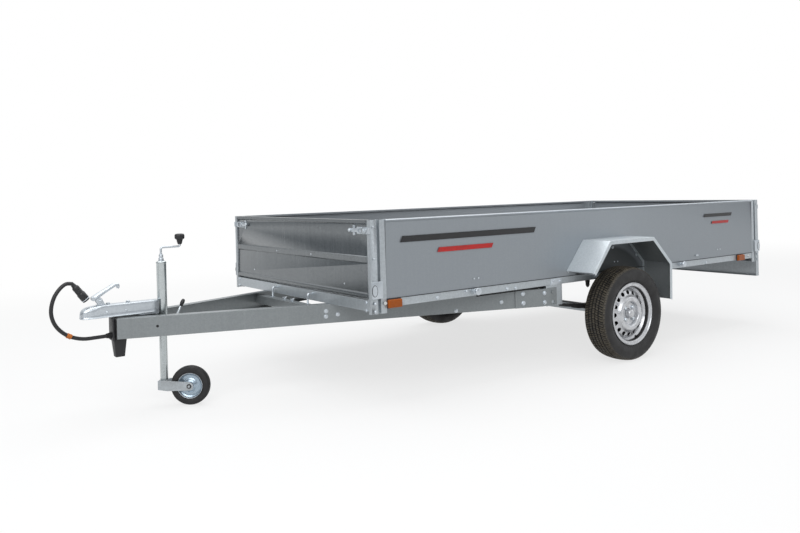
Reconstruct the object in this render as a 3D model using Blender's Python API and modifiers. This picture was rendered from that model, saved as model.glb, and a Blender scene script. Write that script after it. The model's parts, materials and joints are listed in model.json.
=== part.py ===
# A single-axle box trailer with a galvanised bed that tips on its V drawbar.
# Metres, +Z up. The coupling points to -X and the trailer's left side to -Y.
# The origin lies on the ground, under the middle of the whole length.

import math

import bmesh
import bpy
from mathutils import Matrix
from mathutils import Vector

# Fits: the gap of touching pieces, of a pin in its hole, and of moving pieces
seat = 0.0003
pinPlay = 0.0005
runGap = 0.006

# Bed and box
bedLength = 3.42
bedWidth = 1.541
axleToBedFront = 1.733
boxTopZ = 0.901
railBottomZ = 0.478
railHeight = 0.040
railDepth = 0.045
railSheet = 0.002
wallSheet = 0.0015
floorThickness = 0.012
floorEndGap = 0.036
wallHem = 0.025
wallRimHeight = 0.012
wallRimProud = 0.003
crossMemberWidth = 0.060
crossMemberAhead = 1.15
frontRailDepth = 0.057
frontRailBottomZ = 0.4643

# Corner posts
postBottomZ = 0.451
postReturn = 0.025
postFaceWidth = 0.038
postGrooveDepth = 0.0205
postGrooveWidth = 0.017
postStripWidth = 0.033

# Gates and the lamp panel
gateThickness = 0.025
gateSheet = 0.0015
gateBottomZ = 0.528
gateHingeZ = 0.542
gateRibZ = 0.6975
gateRibHeight = 0.024
gateRecess = 0.007
gateFoldSlope = 0.006
gateFootHeight = 0.018
gateTopHeight = 0.016
gateHem = 0.014
hingePinRadius = 0.005
hingeHeadRadius = 0.010
hingeHeadThickness = 0.003
hingeBarrelRadius = 0.009
hingeBarrelLength = 0.040
claspThickness = 0.004
claspLength = 0.062
claspBottomZ = 0.525
claspHeight = 0.082
latchBelowTop = 0.051
latchPlateLength = 0.090
latchPlateHeight = 0.034
latchPlateThickness = 0.003
latchLeverLength = 0.150
latchLeverHeight = 0.018
latchLeverThickness = 0.006
latchBossRadius = 0.015
panelBottomZ = 0.344
panelDepth = 0.036

# Drawbar
noseToAxle = 2.862
armFrontAhead = 2.710
armFrontHalf = 0.059
armHeight = 0.098
armFlange = 0.045
armSheet = 0.003
armEndToSpringEye = 0.088
strapThickness = 0.004
strapAheadOfEye = 0.242
strapPastEye = 0.032
strapHoleRadius = 0.012
pivotAheadOfEye = 0.006
pivotBelowTop = 0.023
pivotRadius = 0.006
pivotHeadRadius = 0.010
memberDrop = 0.018
memberHeight = 0.046
memberFlange = 0.050
memberToBed = 0.012
memberSheet = 0.004
hookY = 0.205
hookRadius = 0.0055
hookBend = 0.012
hookToBed = 0.030
hookBelowRail = 0.016
hookFoot = 0.041
hookSlot = 0.018
blockHalf = 0.036
blockOverhang = 0.012
blockDepth = 0.030
blockEdge = 0.004
ribHalf = 0.010
footAhead = 0.006
footLength = 0.061
footHeight = 0.079
footHalf = 0.026
footTaper = 0.010
footEndHalf = 0.020

# Axle, springs and hangers
tyreToBed = 0.0165
axleBeam = 0.045
hubToBeam = 0.0055
stubRadius = 0.015
stubPastWheel = 0.0395
clampRod = 0.005
clampSlack = 0.002
clampPlate = 0.006
clampPlateLength = 0.085
springHalf = 0.502
springWidth = 0.045
springSideGap = 0.0015
leafThickness = 0.008
leafGap = 0.0006
leafRise = 0.044
leafCount = 4
leafStep = 0.105
leafClampHalf = 0.035
eyeRadius = 0.008
hangerSheet = 0.003
hangerLength = 0.130
hangerAheadOfEye = 0.050
hangerBottomZ = 0.362
slideHangerLength = 0.090
slidePastTip = 0.025
slidePinInset = 0.030
slidePinRadius = 0.009
bumpFromRail = 0.1232
bumpRadius = 0.016
bumpEndZ = 0.402
bumpConeLength = 0.052

# Road wheels
tyreRadius = 0.278
beadRadius = 0.1655
tyreHalfWidth = 0.0825
rimHalfWidth = 0.0573
rimFlangeRadius = 0.183
rimFlangeWidth = 0.0087
rimWellRadius = 0.148
rimSheet = 0.004
hubRadius = 0.045
hubDepth = 0.085
ventCount = 16
ventCircleRadius = 0.124
ventRadius = 0.011
wheelSteps = 28

# Mudguards
guardPastTyre = 0.020
guardSheet = 0.002
guardLip = 0.022
guardTopZ = 0.720
guardTopAhead = 0.2325
guardTopBehind = 0.171
guardFrontReach = 0.380
guardFrontDrop = 0.172
guardRearReach = 0.341
guardRearDrop = 0.165
guardSkirtReach = 0.335
guardSkirtDrop = 0.388

# Coupling, jockey wheel and cable
channelWidth = 0.056
channelHeight = 0.063
channelRearAhead = 2.512
headRearAhead = 2.62
headSheet = 0.003
jockeyAhead = 2.471
jockeyTubeRadius = 0.024
jockeyTubeWall = 0.003
jockeyTubeTopZ = 0.718
jockeyTubeBottomZ = 0.385
jockeyGuide = 0.012
jockeyLegRadius = 0.019
jockeyLegToHub = 0.030
jockeyLegTopInside = 0.180
jockeyTrail = 0.131
jockeySwivel = math.radians(-36)
jockeyWheelRadius = 0.0976
jockeyWheelWidth = 0.050
jockeyRimRadius = 0.064
jockeySteps = 24
forkSheet = 0.004
forkToWheel = 0.004
forkEyeRadius = 0.021
forkTailDrop = 0.014
forkPinRadius = 0.006
clampHalf = 0.004
clampCollar = 0.008
clampScrewRadius = 0.006
crankRise = 0.067
crankReach = 0.097
crankRadius = 0.0055
crankBend = 0.010
cableRadius = 0.0090
cableStartZ = 0.380
cableStraight = 0.006
capAhead = 2.722
plugAhead = 2.888
plugZ = 0.638
plugLength = 0.0986
plugTilt = math.radians(143.3)

# Lamps
lampProud = 0.042
lampWidth = 0.215
lampHeight = 0.085
lampFromSide = 0.1705
lampEdge = 0.008
markerLength = 0.085
markerHeight = 0.045
markerProud = 0.020
markerEdge = 0.004
markerFromFront = 0.130
markerFromRear = 0.250

# Places that follow from the sizes above
axleX = (noseToAxle - (bedLength - axleToBedFront) - lampProud) / 2
bedFrontX = axleX - axleToBedFront
bedRearX = bedFrontX + bedLength
halfWidth = bedWidth / 2
railTopZ = railBottomZ + railHeight
railOuterY = halfWidth - railSheet - seat
railInnerY = railOuterY - railDepth
flangeTopZ = railTopZ + seat + wallSheet
floorBottomZ = flangeTopZ + seat
floorTopZ = floorBottomZ + floorThickness
postLength = postFaceWidth + postGrooveWidth + postStripWidth
gateHalf = halfWidth - postReturn - runGap
armTopZ = frontRailBottomZ - seat
armBottomZ = armTopZ - armHeight
memberTopZ = armTopZ - memberDrop
wheelZ = tyreRadius * math.cos(math.pi / wheelSteps)
wheelTrackHalf = halfWidth + tyreToBed + tyreHalfWidth
axleBeamHalf = wheelTrackHalf - hubDepth - hubToBeam
guardOuterY = wheelTrackHalf + tyreHalfWidth + guardPastTyre
eyeX = axleX - springHalf
pivotX = eyeX - pivotAheadOfEye
pivotZ = armTopZ - pivotBelowTop
jockeyX = axleX - jockeyAhead
jockeyHubZ = jockeyWheelRadius * math.cos(math.pi / jockeySteps)
jockeyLegBottomZ = jockeyHubZ + jockeyLegToHub
armFrontX = axleX - armFrontAhead
armRearX = eyeX - armEndToSpringEye
strapBendX = armRearX + strapThickness
armAngle = math.atan2(halfWidth - armFrontHalf, strapBendX - armFrontX)
armLength = (armRearX - armFrontX) / math.cos(armAngle)
hookX = bedFrontX - hookToBed
claspOuterY = halfWidth + claspThickness
bumpY = railInnerY - bumpFromRail
lampY = halfWidth - lampFromSide
hangerOuterY = halfWidth
springOuterY = hangerOuterY - hangerSheet - springSideGap
springY = springOuterY - springWidth / 2
hangerInnerY = springOuterY - springWidth - springSideGap - hangerSheet
leafBottomZ = wheelZ + axleBeam / 2 + seat
leafTopZ = leafBottomZ + leafCount * leafThickness + (leafCount - 1) * leafGap


def startScene(name):
    for old in list(bpy.data.objects):
        bpy.data.objects.remove(old)
    parts = bpy.data.collections.new(name)
    tools = bpy.data.collections.new("cutters")
    bpy.context.scene.collection.children.link(parts)
    bpy.context.scene.collection.children.link(tools)
    return parts, tools


partsIn, toolsIn = startScene("box_trailer")


def plainMaterial(name, colour, roughness, metallic):
    material = bpy.data.materials.new(name)
    material.use_nodes = True
    shader = material.node_tree.nodes["Principled BSDF"]
    shader.inputs["Base Color"].default_value = (*colour, 1)
    shader.inputs["Roughness"].default_value = roughness
    shader.inputs["Metallic"].default_value = metallic
    return material


galvanised = plainMaterial("galvanised_steel", (0.56, 0.59, 0.61), 0.38, 1.0)
darkSteel = plainMaterial("black_steel", (0.03, 0.03, 0.035), 0.5, 0.3)
zincBright = plainMaterial("bright_zinc", (0.72, 0.75, 0.78), 0.25, 1.0)
blackRubber = plainMaterial("black_rubber", (0.025, 0.025, 0.027), 0.75, 0.0)
blackPlastic = plainMaterial("black_plastic", (0.03, 0.03, 0.032), 0.5, 0.0)
silverPaint = plainMaterial("silver_paint", (0.62, 0.64, 0.66), 0.35, 0.6)
brownPly = plainMaterial("brown_plywood", (0.075, 0.045, 0.03), 0.55, 0.0)
orangeLens = plainMaterial("orange_lens", (0.9, 0.28, 0.03), 0.2, 0.0)
redLens = plainMaterial("red_lens", (0.55, 0.02, 0.02), 0.2, 0.0)


# Object helpers
def place(name, data, material, where=(0, 0, 0), turn=(0, 0, 0), tool=False):
    piece = bpy.data.objects.new(name, data)
    piece.location = where
    piece.rotation_euler = turn
    if not data.materials:
        data.materials.append(material)
    (toolsIn if tool else partsIn).objects.link(piece)
    if tool:
        piece.hide_render = True
        piece.display_type = "WIRE"
    return piece


def meshFrom(name, build):
    shape = bmesh.new()
    build(shape)
    data = bpy.data.meshes.new(name)
    shape.to_mesh(data)
    shape.free()
    return data


def boxMesh(name, low, high):
    size = Vector(high) - Vector(low)
    middle = (Vector(high) + Vector(low)) / 2

    def build(shape):
        bmesh.ops.create_cube(shape, size=1)
        bmesh.ops.scale(shape, vec=size, verts=shape.verts)
        bmesh.ops.translate(shape, vec=middle, verts=shape.verts)

    return meshFrom(name, build)


def box(name, low, high, material, **more):
    return place(name, boxMesh(name, low, high), material, **more)


def cylinderMesh(name, radius, low, high, steps=16):
    def build(shape):
        bmesh.ops.create_cone(shape, cap_ends=True, segments=steps, radius1=radius, radius2=radius,
                              depth=high - low, matrix=Matrix.Translation((0, 0, (high + low) / 2)))

    data = meshFrom(name, build)
    data.shade_smooth()
    data.set_sharp_from_angle(angle=math.radians(40))
    return data


def crossPin(name, radius, x, z, y0, y1, material=None, tool=False, steps=12):
    # A pin along Y between two places
    low, high = min(y0, y1), max(y0, y1)
    data = cylinderMesh(name, radius, -high, -low, steps)
    return place(name, data, material or galvanised, (x, 0, z), (math.pi / 2, 0, 0), tool=tool)


def stripMesh(name, points, axis, start, end):
    # An open folded strip: the points lie in the plane across the axis and run along it
    def spot(point, along):
        if axis == "x":
            return (along, point[0], point[1])
        if axis == "y":
            return (point[0], along, point[1])
        return (point[0], point[1], along)

    def build(shape):
        near = [shape.verts.new(spot(point, start)) for point in points]
        far = [shape.verts.new(spot(point, end)) for point in points]
        for i in range(len(points) - 1):
            shape.faces.new((near[i], near[i + 1], far[i + 1], far[i]))

    return meshFrom(name, build)


def folded(name, points, axis, start, end, sheet, left=True, material=None, **more):
    # Sheet metal folded along the axis, with its thickness left or right of the drawn line
    piece = place(name, stripMesh(name, points, axis, start, end), material or galvanised, **more)
    thick = piece.modifiers.new("sheet", "SOLIDIFY")
    thick.thickness = sheet
    thick.use_even_offset = True
    thick.offset = 1 if left == (axis == "y") else -1
    return piece


def turnedMesh(name, profile, closed):
    def build(shape):
        points = [shape.verts.new((radius, 0, height)) for radius, height in profile]
        for first, second in zip(points, points[1:]):
            shape.edges.new((first, second))
        if closed:
            shape.edges.new((points[-1], points[0]))

    return meshFrom(name, build)


def turned(name, profile, material, where, turn=(0, 0, 0), steps=32, closed=False, mesh=None, **more):
    # A profile of (radius, height) turned round its own Z, drawn down its outer side
    data = mesh or turnedMesh(name, profile, closed)
    piece = place(name, data, material, where, turn, **more)
    screw = piece.modifiers.new("turn", "SCREW")
    screw.axis = "Z"
    screw.angle = 2 * math.pi
    screw.steps = steps
    screw.render_steps = steps
    screw.use_merge_vertices = True
    screw.merge_threshold = 0.00001
    return piece


def flatOutline(name, points, thickness, material, where=(0, 0, 0), turn=(math.pi / 2, 0, 0), **more):
    # A closed flat outline, by default standing in the XZ plane
    curve = bpy.data.curves.new(name, "CURVE")
    curve.dimensions = "2D"
    curve.fill_mode = "BOTH"
    curve.extrude = thickness / 2
    line = curve.splines.new("POLY")
    line.points.add(len(points) - 1)
    for point, (u, v) in zip(line.points, points):
        point.co = (u, v, 0, 1)
    line.use_cyclic_u = True
    return place(name, curve, material, where, turn, **more)


def roundRod(name, points, radius, material, resolution=3, where=(0, 0, 0), turn=(0, 0, 0)):
    curve = bpy.data.curves.new(name, "CURVE")
    curve.dimensions = "3D"
    curve.bevel_depth = radius
    curve.bevel_resolution = resolution
    curve.use_fill_caps = True
    line = curve.splines.new("POLY")
    line.points.add(len(points) - 1)
    for point, spot in zip(line.points, points):
        point.co = (*spot, 1)
    return place(name, curve, material, where, turn)


def asMesh(piece):
    # A curve as a closed mesh, so that it can be cut or joined
    bpy.context.view_layer.update()
    scene = bpy.context.evaluated_depsgraph_get()
    data = bpy.data.meshes.new_from_object(piece.evaluated_get(scene))
    shape = bmesh.new()
    shape.from_mesh(data)
    bmesh.ops.remove_doubles(shape, verts=shape.verts, dist=0.00001)
    bmesh.ops.recalc_face_normals(shape, faces=shape.faces)
    shape.to_mesh(data)
    shape.free()
    name = piece.name
    matrix = piece.matrix_world.copy()
    inTools = piece.display_type == "WIRE"
    bpy.data.objects.remove(piece)
    solid = place(name, data, galvanised, tool=inTools)
    solid.matrix_world = matrix
    return solid


def combine(piece, other, how):
    step = piece.modifiers.new(how.lower(), "BOOLEAN")
    step.operation = how
    step.object = other
    if other.name in partsIn.objects:
        partsIn.objects.unlink(other)
        toolsIn.objects.link(other)
    other.hide_render = True
    other.display_type = "WIRE"


def fuse(piece, *others):
    for other in others:
        combine(piece, other, "UNION")
    return piece


def cut(piece, *others):
    for other in others:
        combine(piece, other, "DIFFERENCE")
    return piece


def softEdge(piece, width, segments=1, angle=30):
    bevel = piece.modifiers.new("edge", "BEVEL")
    bevel.width = width
    bevel.segments = segments
    bevel.limit_method = "ANGLE"
    bevel.angle_limit = math.radians(angle)
    return piece


def arc(middle, radius, start, end, count):
    # Points on an arc, angles in degrees
    turns = [math.radians(start + (end - start) * i / count) for i in range(count + 1)]
    return [(middle[0] + radius * math.cos(a), middle[1] + radius * math.sin(a)) for a in turns]


def sideName(side):
    return "left" if side < 0 else "right"


# Drawbar
def armOuterY(x):
    return armFrontHalf + (x - armFrontX) * math.tan(armAngle)


def armInnerY(x):
    return armOuterY(x) - armSheet / math.cos(armAngle)


def drawbarArm(side):
    # A channel with its web outside and its flanges inwards, laid out along its own X
    points = [(-side * armFlange, armTopZ), (0, armTopZ), (0, armBottomZ), (-side * armFlange, armBottomZ)]
    return folded("drawbar_arm_" + sideName(side), points, "x", 0, armLength, armSheet,
                  left=side < 0, where=(armFrontX, side * armFrontHalf, 0), turn=(0, 0, side * armAngle))


def armStrap(side):
    # Bent plate: bolted along the arm's web, then parallel to the bed for the tipping pivot
    frontX = eyeX - strapAheadOfEye
    lift = seat / math.cos(armAngle)
    points = [
        (frontX, side * (armOuterY(frontX) + lift)),
        (strapBendX, side * (halfWidth + seat)),
        (eyeX + strapPastEye, side * (halfWidth + seat)),
    ]
    strap = folded("arm_strap_" + sideName(side), points, "z", armBottomZ, armTopZ, strapThickness,
                   left=side > 0)
    outer = side * (halfWidth + seat + strapThickness)
    inner = side * (hangerOuterY - hangerSheet - pivotRadius)
    pin = crossPin("strap_pin", pivotRadius, pivotX, pivotZ, outer - side * 0.002, inner, tool=True)
    head = crossPin("strap_pin_head", pivotHeadRadius, pivotX, pivotZ, outer - side * 0.001,
                    outer + side * pivotRadius, tool=True, steps=6)
    view = crossPin("strap_hole", strapHoleRadius, springPinX(), springPinZ(), outer + side * 0.01,
                    side * (halfWidth - strapThickness), tool=True)
    cut(strap, view)
    return fuse(strap, pin, head)


def drawbarCrossMember():
    # Angle section across the arms, under the front of the bed, where the hook bolts go
    x1 = bedFrontX - memberToBed
    x0 = x1 - memberFlange
    half = armInnerY(x0) - 2 * seat
    points = [(x0, memberTopZ - memberHeight), (x0, memberTopZ), (x1, memberTopZ)]
    member = folded("drawbar_cross_member", points, "y", -half, half, memberSheet, left=False)
    reach = hookSlot / 2
    for side in (-1, 1):
        slot = box("hook_slot", (hookX - reach, side * hookY - reach, memberTopZ - 2 * memberSheet),
                   (hookX + reach, side * hookY + reach, memberTopZ + memberSheet), galvanised, tool=True)
        cut(member, slot)
    return member


def hookBolt(side):
    # Screwed rod with its top bent back over the front rail, its foot through the cross member
    top = railTopZ - hookBelowRail
    points = [(hookX, memberTopZ - hookFoot), (hookX, top - hookBend)]
    points += arc((hookX + hookBend, top - hookBend), hookBend, 150, 90, 3)
    points += [(bedFrontX - seat, top)]
    rod = roundRod("hook_bolt_" + sideName(side), [(px, side * hookY, pz) for px, pz in points],
                   hookRadius, zincBright)
    return rod


def couplingChannel():
    # Inverted channel on the arms' top flanges, open below
    x0 = axleX - noseToAxle + 0.10
    x1 = axleX - channelRearAhead
    half = channelWidth / 2
    z0 = armTopZ + seat
    z1 = z0 + channelHeight
    points = [(-half, z0), (-half, z1), (half, z1), (half, z0)]
    return folded("coupling_channel", points, "x", x0, x1, headSheet, left=False)


def couplingHead():
    # Pressed head: a sleeve over the channel that rounds off to the ball socket at the nose
    noseX = axleX - noseToAxle
    half = channelWidth / 2 + seat + headSheet
    bottomZ = armTopZ + 0.0145
    height = armTopZ + channelHeight + 2 * seat + headSheet - bottomZ
    lip = 0.006
    bendSteps = 3
    stations = [(0.0, 0.40, 0.34, 0.010), (0.006, 0.66, 0.56, 0.016), (0.018, 0.90, 0.76, 0.020),
                (0.036, 1.03, 0.87, 0.022), (0.060, 1.08, 0.94, 0.020), (0.082, 1.03, 0.98, 0.012),
                (0.096, 1.0, 1.0, 0.0035), (noseToAxle - headRearAhead, 1.0, 1.0, 0.0035)]

    def build(shape):
        rows = []
        for along, wide, high, corner in stations:
            w = half * wide
            top = bottomZ + height * high
            bend = [(w - corner + corner * math.cos(a), top - corner + corner * math.sin(a))
                    for a in [math.pi / 2 * i / bendSteps for i in range(bendSteps + 1)]]
            right = [(w + lip, bottomZ), (w, bottomZ)] + bend
            section = right + [(-y, z) for y, z in reversed(right)]
            rows.append([shape.verts.new((noseX + along, y, z)) for y, z in section])
        for first, second in zip(rows, rows[1:]):
            for i in range(len(first) - 1):
                shape.faces.new((first[i], first[i + 1], second[i + 1], second[i]))
        shape.faces.new(rows[0][1:-1])
        bmesh.ops.recalc_face_normals(shape, faces=shape.faces)

    head = place("coupling_head", meshFrom("coupling_head", build), zincBright)
    thick = head.modifiers.new("sheet", "SOLIDIFY")
    thick.thickness = headSheet
    thick.use_even_offset = True
    thick.offset = -1
    return head


def couplingHandle():
    # Lever in side view: the stem on the head, the root knuckle and the grip curled at its tip
    noseX = axleX - noseToAxle
    headTop = armTopZ + 2 * seat + channelHeight + headSheet
    root = (noseX + 0.062, headTop + 0.034)
    tip = (noseX + 0.172, headTop + 0.092)
    stem = [(noseX + 0.088, headTop + seat), (noseX + 0.076, headTop + 0.020)]
    outline = stem + arc(root, 0.011, 250, 120, 6)
    outline += [(tip[0] - 0.012, tip[1] + 0.006)]
    outline += arc((tip[0], tip[1] - 0.004), 0.012, 100, -60, 6)
    outline += [(tip[0] - 0.004, tip[1] - 0.006), (root[0] + 0.030, root[1] - 0.002)]
    outline += [(noseX + 0.112, headTop + 0.012), (noseX + 0.116, headTop + seat)]
    return flatOutline("coupling_handle", outline, 0.030, zincBright)


def drawbarEndBlock():
    # Plastic block: its face ahead of the arms, a core between their webs and the tapered foot below
    cap = box("drawbar_end_block", (axleX - capAhead, -blockHalf, armBottomZ - blockOverhang),
              (armFrontX - seat, blockHalf, armTopZ), blackPlastic)
    softEdge(cap, blockEdge)
    inside = armInnerY(armFrontX) - 2 * seat
    floorZ = armBottomZ + armSheet + seat
    core = box("block_core", (armFrontX - 2 * seat, -inside, floorZ),
               (armFrontX + blockDepth, inside, armTopZ - armSheet - seat), blackPlastic)
    rib = box("block_rib", (armFrontX - 2 * seat, -ribHalf, armBottomZ - blockOverhang / 2),
              (armFrontX + blockDepth, ribHalf, floorZ + armSheet), blackPlastic)

    def build(shape):
        bmesh.ops.create_cube(shape, size=1)
        for vert in shape.verts:
            low = vert.co.z < 0
            narrow = footTaper if low else 0
            half = footEndHalf if low else footHalf
            reach = footLength - footAhead - narrow
            vert.co.x = armFrontX + (narrow - footAhead if vert.co.x < 0 else reach)
            vert.co.y = math.copysign(half, vert.co.y)
            vert.co.z = armBottomZ - (blockOverhang + footHeight if low else seat)

    foot = place("end_foot", meshFrom("end_foot", build), blackPlastic)
    return fuse(cap, core, rib, foot)


# Bed frame
def sideRail(side):
    x0 = bedFrontX + frontRailDepth + seat
    x1 = bedRearX - frontRailDepth - seat
    inner = side * railInnerY
    outer = side * railOuterY
    points = [(inner, railTopZ), (outer, railTopZ), (outer, railBottomZ), (inner, railBottomZ)]
    return folded("bed_rail_" + sideName(side), points, "x", x0, x1, railSheet, left=side < 0)


def frontRail():
    half = halfWidth - postReturn - seat
    inner = bedFrontX + frontRailDepth
    points = [(inner, railTopZ), (bedFrontX, railTopZ), (bedFrontX, frontRailBottomZ),
              (inner, frontRailBottomZ)]
    return folded("front_cross_rail", points, "y", -half, half, railSheet, left=True)


def rearRail():
    half = halfWidth - postReturn - seat
    inner = bedRearX - frontRailDepth
    bottom = postBottomZ
    points = [(inner, railTopZ), (bedRearX, railTopZ), (bedRearX, bottom), (inner, bottom)]
    return folded("rear_cross_rail", points, "y", -half, half, railSheet, left=False)


def lampPanel():
    # Folded tray under the rear rail: the face, the two ends and the bottom flange
    panel = box("rear_lamp_panel", (bedRearX - panelDepth, -halfWidth, panelBottomZ),
                (bedRearX, halfWidth, postBottomZ - seat), galvanised)
    shape = bmesh.new()
    shape.from_mesh(panel.data)
    spare = [face for face in shape.faces if min(face.normal.x, -face.normal.z) < -0.5]
    bmesh.ops.delete(shape, geom=spare, context="FACES")
    shape.to_mesh(panel.data)
    shape.free()
    thick = panel.modifiers.new("sheet", "SOLIDIFY")
    thick.thickness = wallSheet
    thick.use_even_offset = True
    thick.offset = -1
    return panel


def crossMember(name, x):
    half = railInnerY - seat
    w = crossMemberWidth / 2
    points = [(x - w, railBottomZ), (x - w, railTopZ), (x + w, railTopZ), (x + w, railBottomZ)]
    return folded(name, points, "y", -half, half, railSheet, left=False)


def floorBoard():
    half = halfWidth - postGrooveDepth - railSheet - seat
    return box("floor_board", (bedFrontX + floorEndGap, -half, floorBottomZ),
               (bedRearX - floorEndGap, half, floorTopZ), brownPly)


def sidePanel(side):
    x0 = bedFrontX + postLength + seat
    x1 = bedRearX - postLength - seat
    outer = side * halfWidth
    hem = side * (halfWidth - wallHem)
    proud = side * (halfWidth + wallRimProud)
    rim = boxTopZ - wallRimHeight
    points = [
        (side * (halfWidth - wallHem), railTopZ + seat),
        (outer, railTopZ + seat),
        (outer, rim - wallRimProud),
        (proud, rim),
        (proud, boxTopZ),
        (hem, boxTopZ),
        (hem, rim),
    ]
    return folded("side_panel_" + sideName(side), points, "x", x0, x1, wallSheet, left=side > 0)


def cornerPost(end, side):
    # Upright in plan: a return on the end, the face, the groove and the strip beside the wall
    endX = bedFrontX if end < 0 else bedRearX
    outer = side * halfWidth
    groove = side * (halfWidth - postGrooveDepth)
    reach = [0, postFaceWidth, postFaceWidth + postGrooveWidth, postLength]
    xs = [endX - end * distance for distance in reach]
    points = [
        (xs[0], side * (halfWidth - postReturn)),
        (xs[0], outer),
        (xs[1], outer),
        (xs[1], groove),
        (xs[2], groove),
        (xs[2], outer),
        (xs[3], outer),
    ]
    name = "post_" + ("front" if end < 0 else "rear") + "_" + sideName(side)
    post = folded(name, points, "z", postBottomZ, boxTopZ, railSheet, left=side == end)
    far = endX - end * claspLength
    ys = sorted((outer - side * railSheet / 2, side * claspOuterY))
    clasp = box("hinge_clasp", (min(endX, far), ys[0], claspBottomZ),
                (max(endX, far), ys[1], claspBottomZ + claspHeight), galvanised, tool=True)
    softEdge(clasp, claspThickness / 3)
    hole = crossPin("hinge_hole", hingePinRadius + pinPlay, endX - end * gateThickness / 2, gateHingeZ,
                    side * (halfWidth - 2 * claspThickness), side * (halfWidth + 2 * claspThickness),
                    tool=True)
    fuse(post, clasp)
    return cut(post, hole)


def gate(name, end):
    # Pressed end gate drawn about its hinge axis, with folds, a rib and pins into the posts
    endX = bedFrontX if end < 0 else bedRearX
    axisX = endX - end * gateThickness / 2
    out = end * gateThickness / 2
    back = -out
    deep = out - end * gateRecess
    z0 = gateBottomZ - gateHingeZ
    top = boxTopZ - gateHingeZ
    rib0 = gateRibZ - gateHingeZ
    rib1 = rib0 + gateRibHeight
    slope = gateFoldSlope
    points = [
        (back, z0 + gateHem),
        (back, z0),
        (out, z0),
        (out, z0 + gateFootHeight),
        (deep, z0 + gateFootHeight + slope),
        (deep, rib0 - slope),
        (out, rib0),
        (out, rib1),
        (deep, rib1 + slope),
        (deep, top - gateTopHeight - slope),
        (out, top - gateTopHeight),
        (out, top),
        (back, top),
        (back, top - gateHem),
    ]
    wall = folded(name, points, "y", -gateHalf, gateHalf, gateSheet, left=end > 0,
                  where=(axisX, 0, gateHingeZ))
    inset = gateThickness / 2 - gateSheet / 2
    for side in (-1, 1):
        headY = claspOuterY + pinPlay
        pinEnd = headY + hingeHeadThickness
        barrel = crossPin(name + "_barrel", hingeBarrelRadius, 0, 0, side * (gateHalf - hingeBarrelLength),
                          side * gateHalf, tool=True)
        pin = crossPin(name + "_pin", hingePinRadius, 0, 0, side * (gateHalf - hingeBarrelRadius),
                       side * pinEnd, tool=True)
        head = crossPin(name + "_head", hingeHeadRadius, 0, 0, side * headY, side * pinEnd, tool=True)
        ys = sorted((side * (gateHalf - 2 * gateSheet), side * gateHalf))
        web = box(name + "_web", (-inset, ys[0], z0 + gateSheet / 2), (inset, ys[1], z0 + gateThickness),
                  galvanised, tool=True)
        extras = [web, barrel, pin, head] + gateLatch(name, side, deep, end, top - latchBelowTop)
        for extra in extras:
            extra.parent = wall
        fuse(wall, *extras)
    return wall


def gateLatch(name, side, face, end, z):
    # Toggle at a top corner: its plate on the sheet, the pivot boss and the lever, closed flat
    foot = face - end * gateSheet / 2
    plateTop = face + end * latchPlateThickness
    leverFoot = plateTop - end * latchPlateThickness / 3
    leverTop = plateTop + end * latchLeverThickness
    bossTop = leverTop + end * latchPlateThickness
    cornerY = gateHalf - latchPlateThickness
    bossY = side * (cornerY - latchPlateHeight / 2)

    def slab(label, x0, x1, reach, high):
        xs = sorted((x0, x1))
        ys = sorted((side * cornerY, side * (cornerY - reach)))
        return box(name + label, (xs[0], ys[0], z - high / 2), (xs[1], ys[1], z + high / 2), galvanised,
                   tool=True)

    plate = slab("_latch_plate", foot, plateTop, latchPlateLength, latchPlateHeight)
    lever = softEdge(slab("_latch_lever", leverFoot, leverTop, latchLeverLength, latchLeverHeight),
                     latchLeverThickness / 4)
    xs = sorted((plateTop - end * latchPlateThickness / 2, bossTop))
    boss = place(name + "_latch_boss", cylinderMesh(name + "_latch_boss", latchBossRadius, xs[0], xs[1]),
                 galvanised, (0, bossY, z), (0, math.pi / 2, 0), tool=True)
    return [plate, lever, boss]


# Axle and suspension
def leafZ(x, drop):
    # Top of the leaf pack at x from the axle, lowered to the wanted surface
    return leafTopZ + leafRise * (x / springHalf) ** 2 - drop


def springSlope():
    return math.atan(2 * leafRise / springHalf)


def springPinX():
    return axleX - springHalf + eyeRadius * math.sin(springSlope())


def springPinZ():
    return leafZ(springHalf, 0) + eyeRadius * math.cos(springSlope())


def leafSpring(side):
    # Outline in side view: four leaves with slits between them, the front end curled to an eye
    pitch = leafThickness + leafGap
    slope = math.degrees(springSlope())
    eye = (springPinX() - axleX, springPinZ())
    count = 7

    def run(x0, x1, drop):
        return [(x0 + (x1 - x0) * i / count, leafZ(x0 + (x1 - x0) * i / count, drop))
                for i in range(count + 1)]

    outline = run(-springHalf, springHalf, 0)
    for leaf in range(leafCount - 1):
        reach = springHalf - leaf * leafStep
        under = leaf * pitch + leafThickness
        shorter = reach - leafStep
        outline += run(reach, leafClampHalf, under)
        outline += run(leafClampHalf, shorter, under + leafGap)
    last = springHalf - (leafCount - 1) * leafStep
    outline += run(last, -last, (leafCount - 1) * pitch + leafThickness)
    for leaf in range(leafCount - 2, -1, -1):
        reach = springHalf - leaf * leafStep
        under = leaf * pitch + leafThickness
        shorter = reach - leafStep
        outline += run(-shorter, -leafClampHalf, under + leafGap)
        outline += run(-leafClampHalf, -reach, under)
    start = -90 - slope
    outline += arc(eye, eyeRadius + leafThickness, start, start - 300, 10)[1:]
    outline += arc(eye, eyeRadius, start - 300, start, 10)[:-1]
    return flatOutline("leaf_spring_" + sideName(side), outline, springWidth, darkSteel,
                       where=(axleX, side * springY, 0))


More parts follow.
